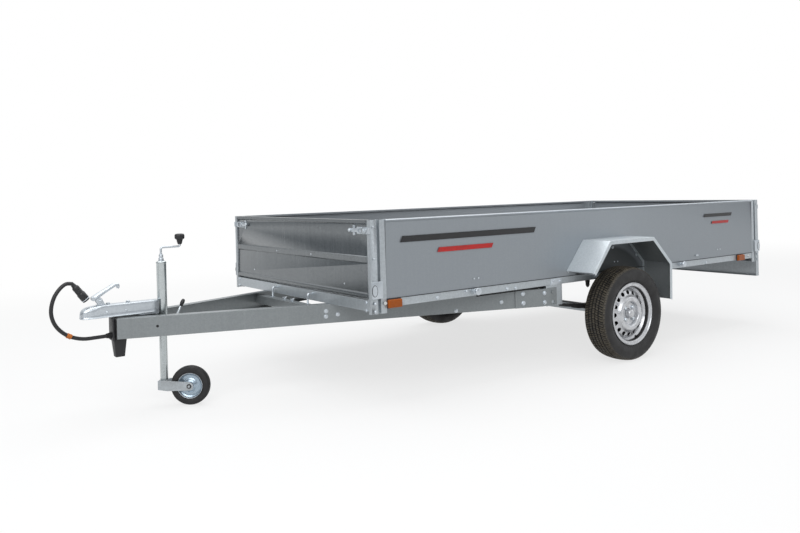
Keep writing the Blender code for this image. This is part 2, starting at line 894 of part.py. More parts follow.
def springHanger(name, side, x0, x1, pinX, pinZ, pinR):
    # Bridge under the rail with two side plates, and the pin that carries the spring's end
    top = railBottomZ - seat
    ys = sorted((side * hangerOuterY, side * (hangerOuterY - hangerSheet)))
    yi = sorted((side * hangerInnerY, side * (hangerInnerY + hangerSheet)))
    outer = box(name, (x0, ys[0], hangerBottomZ), (x1, ys[1], top), galvanised)
    inner = box(name + "_inner", (x0, yi[0], hangerBottomZ), (x1, yi[1], top), galvanised, tool=True)
    low = min(ys[0], yi[0])
    high = max(ys[1], yi[1])
    bridge = box(name + "_bridge", (x0, low, top - hangerSheet), (x1, high, top), galvanised, tool=True)
    pin = crossPin(name + "_pin", pinR, pinX, pinZ, side * (hangerOuterY - 0.0005),
                   side * (hangerInnerY + 0.0005), tool=True)
    fuse(outer, bridge, inner, pin)
    return outer


def frontHanger(side):
    x0 = springPinX() - hangerAheadOfEye
    hanger = springHanger("spring_hanger_front_" + sideName(side), side, x0, x0 + hangerLength,
                          springPinX(), springPinZ(), eyeRadius - seat)
    hole = crossPin("pivot_hole", pivotRadius + pinPlay, pivotX, pivotZ, side * (halfWidth + 0.01),
                    side * (halfWidth - 0.008), tool=True)
    return cut(hanger, hole)


def rearHanger(side):
    x1 = axleX + springHalf + slidePastTip
    pinX = axleX + springHalf - slidePinInset
    pinZ = leafZ(springHalf - slidePinInset, 0) + slidePinRadius + 2 * seat
    return springHanger("spring_hanger_rear_" + sideName(side), side, x1 - slideHangerLength, x1, pinX, pinZ,
                        slidePinRadius)


def axle():
    half = axleBeam / 2
    beam = box("axle_beam", (-half, -axleBeamHalf, -half), (half, axleBeamHalf, half), galvanised,
               where=(axleX, 0, wheelZ))
    softEdge(beam, 0.004)
    end = wheelTrackHalf + stubPastWheel
    stub = crossPin("axle_stub", stubRadius, 0, 0, -end, end, tool=True, steps=16)
    stub.parent = beam
    fuse(beam, stub)
    for side in (-1, 1):
        clamp = springClamp(side)
        clamp.parent = beam
        fuse(beam, clamp)
    return beam


def springClamp(side):
    # Drawn from the beam's middle: two U-bolts over the leaves and the plate below that they pull on
    legReach = springWidth / 2 + clampSlack + clampRod
    saddleZ = leafZ(axleBeam / 2 + 2 * clampRod, 0) + 3 * seat + clampRod - wheelZ
    plateTopZ = clampSlack - axleBeam / 2
    half = legReach + clampRod
    bend = clampRod + clampSlack
    plate = box("clamp_plate", (-clampPlateLength / 2, -half, plateTopZ - clampPlate),
                (clampPlateLength / 2, half, plateTopZ), galvanised, where=(0, side * springY, 0), tool=True)
    for end in (-1, 1):
        x = end * (axleBeam / 2 + clampRod + seat)
        near = arc((-legReach + bend, saddleZ - bend), bend, 180, 90, 4)
        far = arc((legReach - bend, saddleZ - bend), bend, 90, 0, 4)
        footZ = plateTopZ - 2 * clampPlate
        line = [(-legReach, footZ)] + near + far + [(legReach, footZ)]
        rod = asMesh(roundRod("clamp_rod", [(x, y, z) for y, z in line], clampRod, galvanised, resolution=2))
        rod.parent = plate
        fuse(plate, rod)
    return plate


def bumpStop(side):
    # Rubber buffer from the cross member's web down to its soft tip above the axle
    top = railTopZ - railSheet - seat
    tip = bumpEndZ - top
    waist = tip + bumpConeLength
    profile = [(0, 0), (bumpRadius, 0), (bumpRadius, waist), (0.8 * bumpRadius, waist - 0.006),
               (0.9 * bumpRadius, waist - 0.016), (0.45 * bumpRadius, tip), (0, tip)]
    return turned("bump_stop_" + sideName(side), profile, blackRubber, (axleX, side * bumpY, top), steps=16)


# Road wheels
def tyreProfile():
    side = [(beadRadius, rimHalfWidth - seat), (beadRadius + 0.0145, rimHalfWidth - seat),
            (beadRadius + 0.040, tyreHalfWidth - 0.006), (beadRadius + 0.066, tyreHalfWidth),
            (tyreRadius - 0.020, tyreHalfWidth - 0.007), (tyreRadius - 0.006, tyreHalfWidth - 0.017),
            (tyreRadius, tyreHalfWidth - 0.030)]
    return side + [(radius, -height) for radius, height in reversed(side)]


def wheelProfile():
    # From the grease cap over the disc, round the rim and back along the hub to the bore
    rim = rimHalfWidth
    well = rimWellRadius
    bed = beadRadius - seat
    sheet = rimSheet
    lip = rimFlangeRadius
    face = [(0, 0.066), (0.027, 0.062), (0.029, 0.036), (0.064, 0.034), (0.070, 0.052), (0.085, 0.058),
            (0.098, 0.056), (0.110, 0.040), (0.134, 0.030), (well - sheet, 0.018)]
    inside = [(well - sheet, 0.024), (bed - sheet, 0.037), (bed - sheet, rim + 0.004),
              (lip - 0.007, rim + 0.004), (lip - 0.003, rim + rimFlangeWidth)]
    outside = [(lip, rim + rimFlangeWidth), (lip, rim + 0.0052), (lip - 0.004, rim), (bed, rim),
               (bed, 0.035),
               (well, 0.022)]
    back = [(radius, -height) for radius, height in reversed(outside)]
    back += [(radius, -height) for radius, height in reversed(inside)]
    disc = [(well - sheet, 0.012), (0.132, 0.0255), (0.1075, 0.0360), (0.0955, 0.0515), (0.0745, 0.049),
            (0.062, 0.029), (0.062, 0.018), (hubRadius, 0.012)]
    bore = stubRadius + pinPlay
    boreEnd = stubPastWheel + pinPlay
    hub = [(hubRadius, -hubDepth), (bore, -hubDepth), (bore, boreEnd), (0, boreEnd)]
    return face + inside + outside + back + disc + hub


def roadWheel(side, tyreMesh, wheelMesh):
    where = (axleX, side * wheelTrackHalf, wheelZ)
    turn = (-side * math.pi / 2, 0, 0)
    tyre = turned("tyre_" + sideName(side), None, blackRubber, where, turn, steps=wheelSteps, mesh=tyreMesh)
    wheel = turned("wheel_" + sideName(side), None, silverPaint, where, turn, steps=wheelSteps,
                   mesh=wheelMesh)
    for vent in range(ventCount):
        a = 2 * math.pi * (vent + 0.5) / ventCount
        hole = place("vent_hole", cylinderMesh("vent_hole", ventRadius, 0.005, 0.060, 8), silverPaint,
                     (ventCircleRadius * math.cos(a), ventCircleRadius * math.sin(a), 0), tool=True)
        hole.parent = wheel
        cut(wheel, hole)
    return tyre, wheel


def halfStep(data, steps):
    # Turns a profile so that a flat of the wheel meets the ground
    data.transform(Matrix.Rotation(math.pi / steps, 4, "Z"))
    return data


def mudguard(side):
    # Folded arch: a lip outside, five flats over the wheel and a flange against the wall
    innerY = side * (halfWidth + seat)
    outerY = side * guardOuterY
    flats = [(-guardFrontReach, guardTopZ - guardFrontDrop), (-guardTopAhead, guardTopZ),
             (guardTopBehind, guardTopZ), (guardRearReach, guardTopZ - guardRearDrop),
             (guardSkirtReach, guardTopZ - guardSkirtDrop)]
    normals = []
    for first, second in zip(flats, flats[1:]):
        run = Vector((second[0] - first[0], second[1] - first[1])).normalized()
        normals.append(Vector((run.y, -run.x)))
    inset = []
    for i, spot in enumerate(flats):
        near = normals[max(i - 1, 0)]
        far = normals[min(i, len(normals) - 1)]
        mean = (near + far).normalized()
        inset.append(Vector(spot) + mean * guardLip / max(mean.dot(far), 0.2))

    def build(shape):
        rows = []
        for spot, deep in zip(flats, inset):
            rows.append([
                shape.verts.new((axleX + deep.x, outerY, deep.y)),
                shape.verts.new((axleX + spot[0], outerY, spot[1])),
                shape.verts.new((axleX + spot[0], innerY, spot[1])),
                shape.verts.new((axleX + deep.x, innerY, deep.y)),
            ])
        for first, second in zip(rows, rows[1:]):
            for i in range(3):
                shape.faces.new((first[i], first[i + 1], second[i + 1], second[i]))
        if side > 0:
            bmesh.ops.reverse_faces(shape, faces=shape.faces)

    guard = place("mudguard_" + sideName(side), meshFrom("mudguard", build), galvanised)
    thick = guard.modifiers.new("sheet", "SOLIDIFY")
    thick.thickness = guardSheet
    thick.use_even_offset = True
    thick.offset = 1
    return guard


# Jockey wheel
def clampBore():
    # The collar's flats lie just outside the tube's
    return jockeyTubeRadius + seat / math.cos(math.pi / 24)


def jockeyClamp():
    # Split collar on a plate that spans the arms, with the clamping screw behind
    z0 = armBottomZ + 0.025
    z1 = armTopZ - 0.018
    x0 = jockeyX - clampHalf
    half = armInnerY(x0) - 2 * seat
    plate = box("jockey_clamp", (x0, -half, z0), (jockeyX + clampHalf, half, z1), galvanised)
    collar = place("clamp_collar", cylinderMesh("clamp_collar", jockeyTubeRadius + clampCollar, z0, z1, 24),
                   galvanised, (jockeyX, 0, 0), tool=True)
    bore = place("clamp_bore", cylinderMesh("clamp_bore", clampBore(), z0 - 0.01, z1 + 0.01, 24),
                 galvanised, (jockeyX, 0, 0), tool=True)
    screw = asMesh(roundRod("clamp_screw", clampScrewPoints(), clampScrewRadius, galvanised))
    fuse(plate, collar, screw)
    return cut(plate, bore)


def clampScrewPoints():
    x = jockeyX + jockeyTubeRadius
    z = armTopZ - 0.039
    return [(x + 0.003, 0, z), (x + 0.031, 0, z), (x + 0.048, 0, z + 0.015), (x + 0.062, 0, z + 0.043)]


def clampGrip():
    bend, end = [Vector(spot) for spot in clampScrewPoints()[-2:]]
    along = (end - bend).normalized()
    grip = [(0, 0.055), (0.008, 0.053), (0.0105, 0.044), (0.009, 0.004), (0.007, 0), (0, 0)]
    lean = math.atan2(along.x, along.z)
    return turned("clamp_grip", grip, blackPlastic, end + along * seat, (0, lean, 0), steps=14)


def jockeyTube():
    wall = jockeyTubeWall
    radius = jockeyTubeRadius
    z0 = jockeyTubeBottomZ
    z1 = jockeyTubeTopZ
    guide = jockeyLegRadius + pinPlay
    profile = [(0, z1), (radius - 0.006, z1), (radius, z1 - 0.006), (radius, z0), (guide, z0),
               (guide, z0 + jockeyGuide), (radius - wall, z0 + jockeyGuide + wall),
               (radius - wall, z1 - 0.010), (0, z1 - 0.010)]
    return turned("jockey_tube", profile, zincBright, (jockeyX, 0, 0), steps=24)


def jockeyLeg():
    z0 = jockeyLegBottomZ
    z1 = jockeyTubeTopZ - jockeyLegTopInside
    profile = [(0, z1), (jockeyLegRadius, z1), (jockeyLegRadius, z0), (0, z0)]
    return turned("jockey_leg", profile, zincBright, (jockeyX, 0, 0), steps=24)


def jockeyFork():
    # Crown under the leg and a cheek on each side of the wheel, drawn trailing along +X
    hubZ = jockeyHubZ
    sheet = forkSheet
    eye = forkEyeRadius
    gap = jockeyWheelWidth / 2 + forkToWheel
    crownZ = jockeyLegBottomZ - seat
    tail = jockeyLegRadius + sheet
    outline = [(-tail, crownZ), (tail, crownZ), (jockeyTrail, hubZ + eye)]
    outline += arc((jockeyTrail, hubZ), eye, 80, -90, 8)
    outline += [(tail, hubZ - eye), (-tail, hubZ - forkTailDrop)]
    where = (jockeyX, 0, 0)
    turn = (0, 0, jockeySwivel)
    cheek = asMesh(flatOutline("jockey_fork", outline, sheet, galvanised))
    other = asMesh(flatOutline("fork_cheek", outline, sheet, galvanised))
    cheek.data.transform(cheek.matrix_world)
    other.data.transform(other.matrix_world)
    cheek.data.transform(Matrix.Translation((0, -gap - sheet / 2, 0)))
    other.data.transform(Matrix.Translation((0, gap + sheet / 2, 0)))
    crown = box("fork_crown", (-tail, -gap - sheet / 2, crownZ - sheet), (tail, gap + sheet / 2, crownZ),
                galvanised)
    pin = place("fork_pin", cylinderMesh("fork_pin", forkPinRadius, -gap - 0.010, gap + 0.010), galvanised,
                (jockeyTrail, 0, hubZ), (math.pi / 2, 0, 0))
    pin.data.transform(Matrix.Translation((jockeyTrail, 0, hubZ)) @ Matrix.Rotation(math.pi / 2, 4, "X"))
    pin.location = (0, 0, 0)
    pin.rotation_euler = (0, 0, 0)
    for piece in (cheek, other, crown, pin):
        piece.matrix_world = Matrix.Translation(where) @ Matrix.Rotation(turn[2], 4, "Z")
    return fuse(cheek, crown, other, pin)


def jockeyWheel():
    x = jockeyX + jockeyTrail * math.cos(jockeySwivel)
    y = jockeyTrail * math.sin(jockeySwivel)
    half = jockeyWheelWidth / 2
    where = (x, y, jockeyHubZ)
    turn = (math.pi / 2, 0, jockeySwivel)
    outer = jockeyWheelRadius
    rim = jockeyRimRadius
    tyreSide = [(rim, half - 0.006), (rim + 0.012, half - 0.001), (outer - 0.010, half - 0.003),
                (outer - 0.003, half - 0.010), (outer, half - 0.018)]
    tyreSide += [(radius, -height) for radius, height in reversed(tyreSide)]
    tyre = turned("jockey_tyre", None, blackRubber, where, turn, steps=jockeySteps,
                  mesh=halfStep(turnedMesh("jockey_tyre", tyreSide, True), jockeySteps))
    seatR = rim - seat
    upper = [(seatR, half - 0.008), (seatR - 0.004, half - 0.006), (seatR - 0.007, half - 0.012),
             (0.030, half - 0.016), (0.018, half - 0.006), (forkPinRadius + 0.0008, half - 0.006)]
    lower = [(radius, -height) for radius, height in upper]
    profile = list(reversed(upper)) + lower
    rimPiece = turned("jockey_rim", None, zincBright, where, turn, steps=jockeySteps,
                      mesh=halfStep(turnedMesh("jockey_rim", profile, True), jockeySteps))
    return tyre, rimPiece


def jockeyCrank():
    # Head nut on the tube, then the bent crank rod
    top = jockeyTubeTopZ + seat
    profile = [(0, top + 0.040), (0.006, top + 0.040), (0.006, top + 0.026), (0.014, top + 0.024),
               (0.016, top + 0.004), (0.019, top), (0, top)]
    nut = turned("jockey_crank", profile, zincBright, (jockeyX, 0, 0), steps=16)
    z = jockeyTubeTopZ + crankRise
    bend = crankBend
    reach = crankReach
    points = [(0, top + 0.030), (0, z - bend)]
    points += [(bend - bend * math.cos(a), z - bend + bend * math.sin(a)) for a in (0.5, 1.07, math.pi / 2)]
    points += [(reach - 0.007, z), (reach - 0.0015, z + 0.002), (reach, z + 0.0055)]
    points += [(reach, z + bend - seat)]
    line = [(jockeyX + px, 0, pz) for px, pz in points]
    rod = asMesh(roundRod("crank_rod", line, crankRadius, zincBright))
    return fuse(nut, rod)


def jockeyKnob():
    z = jockeyTubeTopZ + crankRise + crankBend
    profile = [(0, z + 0.054), (0.020, z + 0.053), (0.025, z + 0.047), (0.024, z + 0.040),
               (0.015, z + 0.034), (0.0125, z + 0.022), (0.0095, z), (0, z)]
    return turned("jockey_knob", profile, blackPlastic, (jockeyX + crankReach, 0, 0), steps=16)


# Cable, plug and lamps
def smoothRoute(points, each):
    # Catmull-Rom curve through the route's own points
    route = []
    ends = [2 * points[0] - points[1]] + points + [2 * points[-1] - points[-2]]
    for a, b, c, d in zip(ends, ends[1:], ends[2:], ends[3:]):
        for i in range(each):
            t = i / each
            route.append(0.5 * (2 * b + (c - a) * t + (2 * a - 5 * b + 4 * c - d) * t * t
                                + (3 * b - a - 3 * c + d) * t * t * t))
    route.append(points[-1])
    return route


def cable():
    # Points as seen in the photograph, ahead of the axle and above the ground
    route = [(2.790, 0.3785), (2.850, 0.3800), (2.905, 0.3975), (2.946, 0.4280), (2.973, 0.4660),
             (2.985, 0.5110), (2.981, 0.5550), (2.966, 0.5950), (2.942, 0.6270), (2.917, 0.6440)]
    straight = cableStraight
    start = Vector((axleX - capAhead, 0, cableStartZ))
    out = Vector((-1, 0, 0))
    end = Vector((axleX - plugAhead, 0, plugZ))
    down = Vector((math.sin(plugTilt), 0, math.cos(plugTilt)))
    middle = [Vector((axleX - ahead, 0, z)) for ahead, z in route]
    curved = smoothRoute([start + out * straight] + middle + [end - down * straight], 4)
    points = [start + out * seat] + curved + [end - down * seat]
    return roundRod("cable", [tuple(spot) for spot in points], cableRadius, blackPlastic, resolution=2)


def plug():
    # Turned connector: cable boot, ribbed grip and the wider mating end
    boot = cableRadius + 0.0015
    profile = [(0, 0), (boot, 0), (boot + 0.0015, 0.012), (0.0155, 0.016), (0.0165, 0.030), (0.0155, 0.033),
               (0.0165, 0.036), (0.0165, 0.052), (0.0190, 0.056), (0.0190, 0.088), (0.0175, 0.0905),
               (0.0175, plugLength), (0.0150, plugLength), (0.0150, 0.084), (0, 0.084)]
    body = turned("plug", [(radius, -height) for radius, height in profile], blackPlastic,
                  (axleX - plugAhead, 0, plugZ), (0, plugTilt - math.pi, 0), steps=14)
    return body


def sideMarker(end, side):
    x = bedFrontX + markerFromFront if end < 0 else bedRearX - markerFromRear
    name = "side_marker_" + ("front" if end < 0 else "rear") + "_" + sideName(side)
    z = (railBottomZ + railTopZ) / 2 - 0.004
    ys = sorted((side * (railOuterY + seat), side * (railOuterY + seat + markerProud)))
    lens = box(name, (x - markerLength / 2, ys[0], z - markerHeight / 2),
               (x + markerLength / 2, ys[1], z + markerHeight / 2), orangeLens)
    return softEdge(lens, markerEdge)


def rearLamp(side):
    z = (panelBottomZ + postBottomZ) / 2 + 0.004
    x0 = bedRearX + seat
    lamp = box("rear_lamp_" + sideName(side), (x0, side * lampY - lampWidth / 2, z - lampHeight / 2),
               (bedRearX + lampProud, side * lampY + lampWidth / 2, z + lampHeight / 2), redLens)
    return softEdge(lamp, lampEdge)


def main():
    bed = bpy.data.objects.new("bed_pivot", None)
    bed.location = (pivotX, 0, pivotZ)
    partsIn.objects.link(bed)
    tyreMesh = halfStep(turnedMesh("tyre", tyreProfile(), True), wheelSteps)
    wheelMesh = halfStep(turnedMesh("wheel", wheelProfile(), False), wheelSteps)
    onBed = [frontRail(), rearRail(), lampPanel(), floorBoard(), gate("front_gate", -1), gate("tailgate", 1),
             axle()]
    for name, ahead in (("front", crossMemberAhead), ("axle", 0), ("rear", -crossMemberAhead)):
        onBed.append(crossMember("cross_member_" + name, axleX - ahead))
    for side in (-1, 1):
        drawbarArm(side)
        armStrap(side)
        onBed += [sideRail(side), sidePanel(side), leafSpring(side), frontHanger(side), rearHanger(side),
                  mudguard(side), bumpStop(side), hookBolt(side), rearLamp(side)]
        onBed += roadWheel(side, tyreMesh, wheelMesh)
        for end in (-1, 1):
            onBed += [cornerPost(end, side), sideMarker(end, side)]
    for piece in onBed:
        piece.parent = bed
        piece.matrix_parent_inverse = Matrix.Translation((-pivotX, 0, -pivotZ))
    drawbarCrossMember()
    couplingChannel()
    couplingHead()
    couplingHandle()
    drawbarEndBlock()
    jockeyClamp()
    clampGrip()
    jockeyTube()
    jockeyLeg()
    jockeyFork()
    jockeyWheel()
    jockeyCrank()
    jockeyKnob()
    cable()
    plug()


main()
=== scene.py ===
import json
import math

import bmesh
import bpy
import numpy as np
from mathutils import Matrix, Vector

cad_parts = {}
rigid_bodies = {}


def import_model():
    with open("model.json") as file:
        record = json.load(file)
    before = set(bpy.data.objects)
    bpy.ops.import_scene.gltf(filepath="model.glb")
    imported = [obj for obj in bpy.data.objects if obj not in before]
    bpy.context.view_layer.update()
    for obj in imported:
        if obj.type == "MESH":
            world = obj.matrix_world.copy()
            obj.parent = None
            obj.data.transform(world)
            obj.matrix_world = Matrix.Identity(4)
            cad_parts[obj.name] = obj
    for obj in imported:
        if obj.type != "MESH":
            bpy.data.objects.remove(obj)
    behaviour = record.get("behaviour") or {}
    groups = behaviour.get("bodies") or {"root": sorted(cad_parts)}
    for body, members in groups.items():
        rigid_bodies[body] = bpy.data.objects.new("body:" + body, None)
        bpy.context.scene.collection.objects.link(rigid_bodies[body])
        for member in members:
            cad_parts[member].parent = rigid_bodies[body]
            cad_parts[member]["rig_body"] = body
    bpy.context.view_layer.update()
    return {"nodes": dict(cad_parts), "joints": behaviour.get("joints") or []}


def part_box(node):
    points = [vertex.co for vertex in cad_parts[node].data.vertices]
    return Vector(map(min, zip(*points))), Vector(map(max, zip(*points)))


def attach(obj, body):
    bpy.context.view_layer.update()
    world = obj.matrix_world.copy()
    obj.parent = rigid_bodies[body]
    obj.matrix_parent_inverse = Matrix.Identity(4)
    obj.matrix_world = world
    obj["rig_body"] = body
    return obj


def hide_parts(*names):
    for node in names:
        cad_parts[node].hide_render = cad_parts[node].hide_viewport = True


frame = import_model()
scene = bpy.context.scene

# places that the pieces share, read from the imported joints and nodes
joints = {joint["name"]: joint for joint in frame["joints"]}
wheelSpot = Vector(joints["wheel_left_spin"]["pos_m"])
axleX = wheelSpot.x
wheelZ = wheelSpot.z
trackHalf = abs(wheelSpot.y)
postLow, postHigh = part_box("post_front_left")
bedFrontX = postLow.x
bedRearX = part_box("post_rear_left")[1].x
halfWidth = -postLow.y
boxTopZ = postHigh.z
bothSides = ((-1, "left"), (1, "right"))
bothEnds = ((-1, "front"), (1, "rear"))


# camera: yaw, pitch and roll in radians as fitted to the photograph, sizes in metres
cameraFit = {
    "place": (-3.1711, -3.7899, 1.0385),
    "yaw": 0.6269,
    "pitch": -0.0067,
    "roll": -0.0261,
    "lens": 34.48,
    "shiftY": -0.0889,
}


def makeCamera():
    # the view's direction from yaw and pitch, then its right and up turned by the roll
    fit = cameraFit
    level = math.cos(fit["pitch"])
    ahead = Vector((math.sin(fit["yaw"]) * level, math.cos(fit["yaw"]) * level, math.sin(fit["pitch"])))
    right = ahead.cross(Vector((0, 0, 1))).normalized()
    up = right.cross(ahead)
    across = math.cos(fit["roll"]) * right + math.sin(fit["roll"]) * up
    rise = -math.sin(fit["roll"]) * right + math.cos(fit["roll"]) * up
    data = bpy.data.cameras.new("camera")
    data.lens = fit["lens"]
    data.sensor_width = 36
    data.shift_y = fit["shiftY"]
    data.clip_end = 200
    eye = bpy.data.objects.new("camera", data)
    turn = Matrix((across, rise, -ahead)).transposed().to_4x4()
    eye.matrix_world = Matrix.Translation(fit["place"]) @ turn
    scene.collection.objects.link(eye)
    scene.camera = eye


makeCamera()
print("camera set")


# shapes are pairs of points and faces, worked out as whole arrays
def gridFaces(rows, cols, closeRows=False, closeCols=False):
    # each face joins grid point (i, j) to its next row and next column; a closed way wraps round
    i, j = np.meshgrid(np.arange(rows if closeRows else rows - 1),
                       np.arange(cols if closeCols else cols - 1), indexing="ij")
    nextI = (i + 1) % rows
    nextJ = (j + 1) % cols
    return np.stack([i * cols + j, nextI * cols + j, nextI * cols + nextJ, i * cols + nextJ], -1).reshape(-1, 4)


def latheShape(profile, steps, turn=0.0):
    # radius r and height h of each profile point go round Z: x = r cos t, y = r sin t, z = h
    r, h = np.array(profile, float).T
    t = turn + np.arange(steps) * 2 * np.pi / steps
    points = np.stack([r[:, None] * np.cos(t), r[:, None] * np.sin(t), h[:, None] + 0 * t], -1)
    return points.reshape(-1, 3), gridFaces(len(r), steps, closeCols=True).tolist()


def smoothLine(points, each):
    # Catmull-Rom curve: each stretch is a cubic in t whose end slopes follow the neighbours
    p = np.array(points, float)
    p = np.vstack([2 * p[0] - p[1], p, 2 * p[-1] - p[-2]])
    t = (np.arange(each) / each)[None, :, None]
    a, b, c, d = (p[k:len(p) - 3 + k][:, None, :] for k in range(4))
    bend = (2 * a - 5 * b + 4 * c - d) * t ** 2
    curve = 0.5 * (2 * b + (c - a) * t + bend + (3 * b - a - 3 * c + d) * t ** 3)
    return np.vstack([curve.reshape(-1, p.shape[1]), p[-2]])


def tubeShape(path, radius, steps=16, cap=True):
    # circle of the given radius carried along the path, square to it; radius may vary by point
    path = np.array(path, float)
    along = np.gradient(path, axis=0)
    along /= np.linalg.norm(along, axis=1)[:, None]
    side = np.cross(along, (0.0, 1.0, 0.0))
    flat = np.linalg.norm(side, axis=1) < 0.2
    side[flat] = np.cross(along[flat], (1.0, 0.0, 0.0))
    side /= np.linalg.norm(side, axis=1)[:, None]
    other = np.cross(along, side)
    r = np.broadcast_to(np.array(radius, float), (len(path),))
    if cap:
        path = np.vstack([path[:1], path, path[-1:]])
        side = np.vstack([side[:1], side, side[-1:]])
        other = np.vstack([other[:1], other, other[-1:]])
        r = np.concatenate([[0], r, [0]])
    t = np.arange(steps) * 2 * np.pi / steps
    ring = np.cos(t)[None, :, None] * side[:, None] + np.sin(t)[None, :, None] * other[:, None]
    points = path[:, None] + r[:, None, None] * ring
    return points.reshape(-1, 3), gridFaces(len(path), steps, closeCols=True).tolist()


def plateShape(outline, low, high):
    # flat outline in X and Y given a thickness from low to high along Z
    flat = np.array(outline, float)
    n = len(flat)
    points = np.vstack([np.c_[flat, np.full(n, low)], np.c_[flat, np.full(n, high)]])
    faces = [list(range(n - 1, -1, -1)), list(range(n, 2 * n))]
    faces += [[k, (k + 1) % n, (k + 1) % n + n, k + n] for k in range(n)]
    return points, faces


def blockShape(low, high):
    # box between two opposite corners
    (x0, y0, z0), (x1, y1, z1) = low, high
    return plateShape([(x0, y0), (x1, y0), (x1, y1), (x0, y1)], z0, z1)


def roundedOutline(width, height, corner, steps=5):
    # rectangle about the middle, each corner a quarter circle
    quarter = np.arange(steps + 1) / steps * np.pi / 2
    outline = []
    for k, (sx, sy) in enumerate(((1, 1), (-1, 1), (-1, -1), (1, -1))):
        a = quarter + k * np.pi / 2
        outline += list(zip(sx * (width / 2 - corner) + corner * np.cos(a),
                            sy * (height / 2 - corner) + corner * np.sin(a)))
    return outline


def placed(shape, matrix):
    # each point is turned by the matrix and then moved by its last column
    points, faces = shape
    m = np.array(matrix)
    return points @ m[:3, :3].T + m[:3, 3], faces


def standing(place, normal, roll=0.0):
    # matrix that stands a shape's Z along the normal at a place
    quat = Vector(normal).to_track_quat("Z", "Y")
    return Matrix.Translation(place) @ quat.to_matrix().to_4x4() @ Matrix.Rotation(roll, 4, "Z")


def joined(shapes):
    # the points in a row; each shape's corners count on from the shapes before it
    points = []
    faces = []
    count = 0
    for spots, quads in shapes:
        points.append(spots)
        faces += [[corner + count for corner in quad] for quad in quads]
        count += len(spots)
    return np.vstack(points), faces


def finishMesh(mesh, angle):
    # doubles merged, faces turned outwards, shading smooth below the angle
    work = bmesh.new()
    work.from_mesh(mesh)
    bmesh.ops.remove_doubles(work, verts=work.verts, dist=0.000005)
    bmesh.ops.dissolve_degenerate(work, edges=work.edges, dist=0.000001)
    bmesh.ops.recalc_face_normals(work, faces=work.faces)
    work.to_mesh(mesh)
    work.free()
    mesh.shade_smooth()
    mesh.set_sharp_from_angle(angle=math.radians(angle))


def addPiece(name, shapes, material, body, stands=(), edge=0.0, angle=35, marks=None):
    # one object from its shapes, merged and turned outwards, on its body; marks is a value for each point
    points, faces = joined(shapes)
    mesh = bpy.data.meshes.new(name)
    mesh.from_pydata(points, [], faces)
    if marks is not None:
        mesh.attributes.new("deep", "FLOAT", "POINT").data.foreach_set("value", marks)
    finishMesh(mesh, angle)
    mesh.materials.append(materials[material])
    piece = bpy.data.objects.new(name, mesh)
    scene.collection.objects.link(piece)
    if edge:
        roundEdges(piece, edge)
    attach(piece, body)
    if stands:
        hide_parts(*stands)
    return piece


def roundEdges(piece, width, angle=28):
    # bevel in two steps on the edges that are sharper than the angle
    bevel = piece.modifiers.new("edge", "BEVEL")
    bevel.width = width
    bevel.segments = 2
    bevel.limit_method = "ANGLE"
    bevel.angle_limit = math.radians(angle)
    bevel.harden_normals = True
    bevel.use_clamp_overlap = True


def dressNode(node, material, width):
    # folded sheet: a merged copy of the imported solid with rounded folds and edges
    mesh = frame["nodes"][node].data.copy()
    mesh.name = node + "_sheet"
    work = bmesh.new()
    work.from_mesh(mesh)
    bmesh.ops.remove_doubles(work, verts=work.verts, dist=0.00002)
    if width >= 0.001:
        bmesh.ops.dissolve_limit(work, angle_limit=math.radians(1), verts=work.verts, edges=work.edges)
    work.to_mesh(mesh)
    work.free()
    mesh.materials.clear()
    mesh.materials.append(materials[material])
    mesh.shade_smooth()
    mesh.set_sharp_from_angle(angle=math.radians(30))
    piece = bpy.data.objects.new(node + "_sheet", mesh)
    scene.collection.objects.link(piece)
    roundEdges(piece, width)
    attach(piece, frame["nodes"][node]["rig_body"])
    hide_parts(node)
    return piece


# shader groups: each puts out a tone from 0 to 1 and a height for bump
def newGroup(name, values, outputs):
    # group fed by a place and plain values: its tree, its incoming sockets and its outgoing node
    tree = bpy.data.node_groups.new(name, "ShaderNodeTree")
    tree.interface.new_socket("Vector", in_out="INPUT", socket_type="NodeSocketVector")
    for label, value in values.items():
        socket = tree.interface.new_socket(label, in_out="INPUT", socket_type="NodeSocketFloat")
        socket.default_value = value
    for label in outputs:
        tree.interface.new_socket(label, in_out="OUTPUT", socket_type="NodeSocketFloat")
    return tree, tree.nodes.new("NodeGroupInput").outputs, tree.nodes.new("NodeGroupOutput")


def setInput(tree, node, label, value):
    # an input takes another node's output as a link, or else a plain value
    if isinstance(value, bpy.types.NodeSocket):
        tree.links.new(value, node.inputs[label])
    else:
        node.inputs[label].default_value = value


def addNode(tree, kind, inputs=None, **fields):
    # the fields are set before the inputs, because some of them decide which inputs there are
    node = tree.nodes.new("ShaderNode" + kind)
    for field, value in fields.items():
        setattr(node, field, value)
    for label, value in (inputs or {}).items():
        setInput(tree, node, label, value)
    return node


def mathNode(tree, operation, *values):
    # one sum on its values, in their order
    return addNode(tree, "Math", dict(enumerate(values)), operation=operation).outputs[0]


def noiseNode(tree, vector, scale, detail=3.0, rough=0.5):
    # soft noise from 0 to 1
    sizes = {"Vector": vector, "Scale": scale, "Detail": detail, "Roughness": rough}
    return addNode(tree, "TexNoise", sizes).outputs["Fac"]


def rampNode(tree, value, low, high, first=0.0, last=1.0):
    # first at low, last at high, and a smooth step between them
    ends = {"Value": value, "From Min": low, "From Max": high, "To Min": first, "To Max": last}
    return addNode(tree, "MapRange", ends, interpolation_type="SMOOTHSTEP").outputs["Result"]


def scaledVector(tree, vector, scale, place=(0, 0, 0)):
    # place + scale * vector
    return addNode(tree, "Mapping", {"Vector": vector, "Scale": scale, "Location": place}).outputs["Vector"]


def splitVector(tree, vector):
    # X, Y and Z of a vector
    return addNode(tree, "SeparateXYZ", {0: vector}).outputs


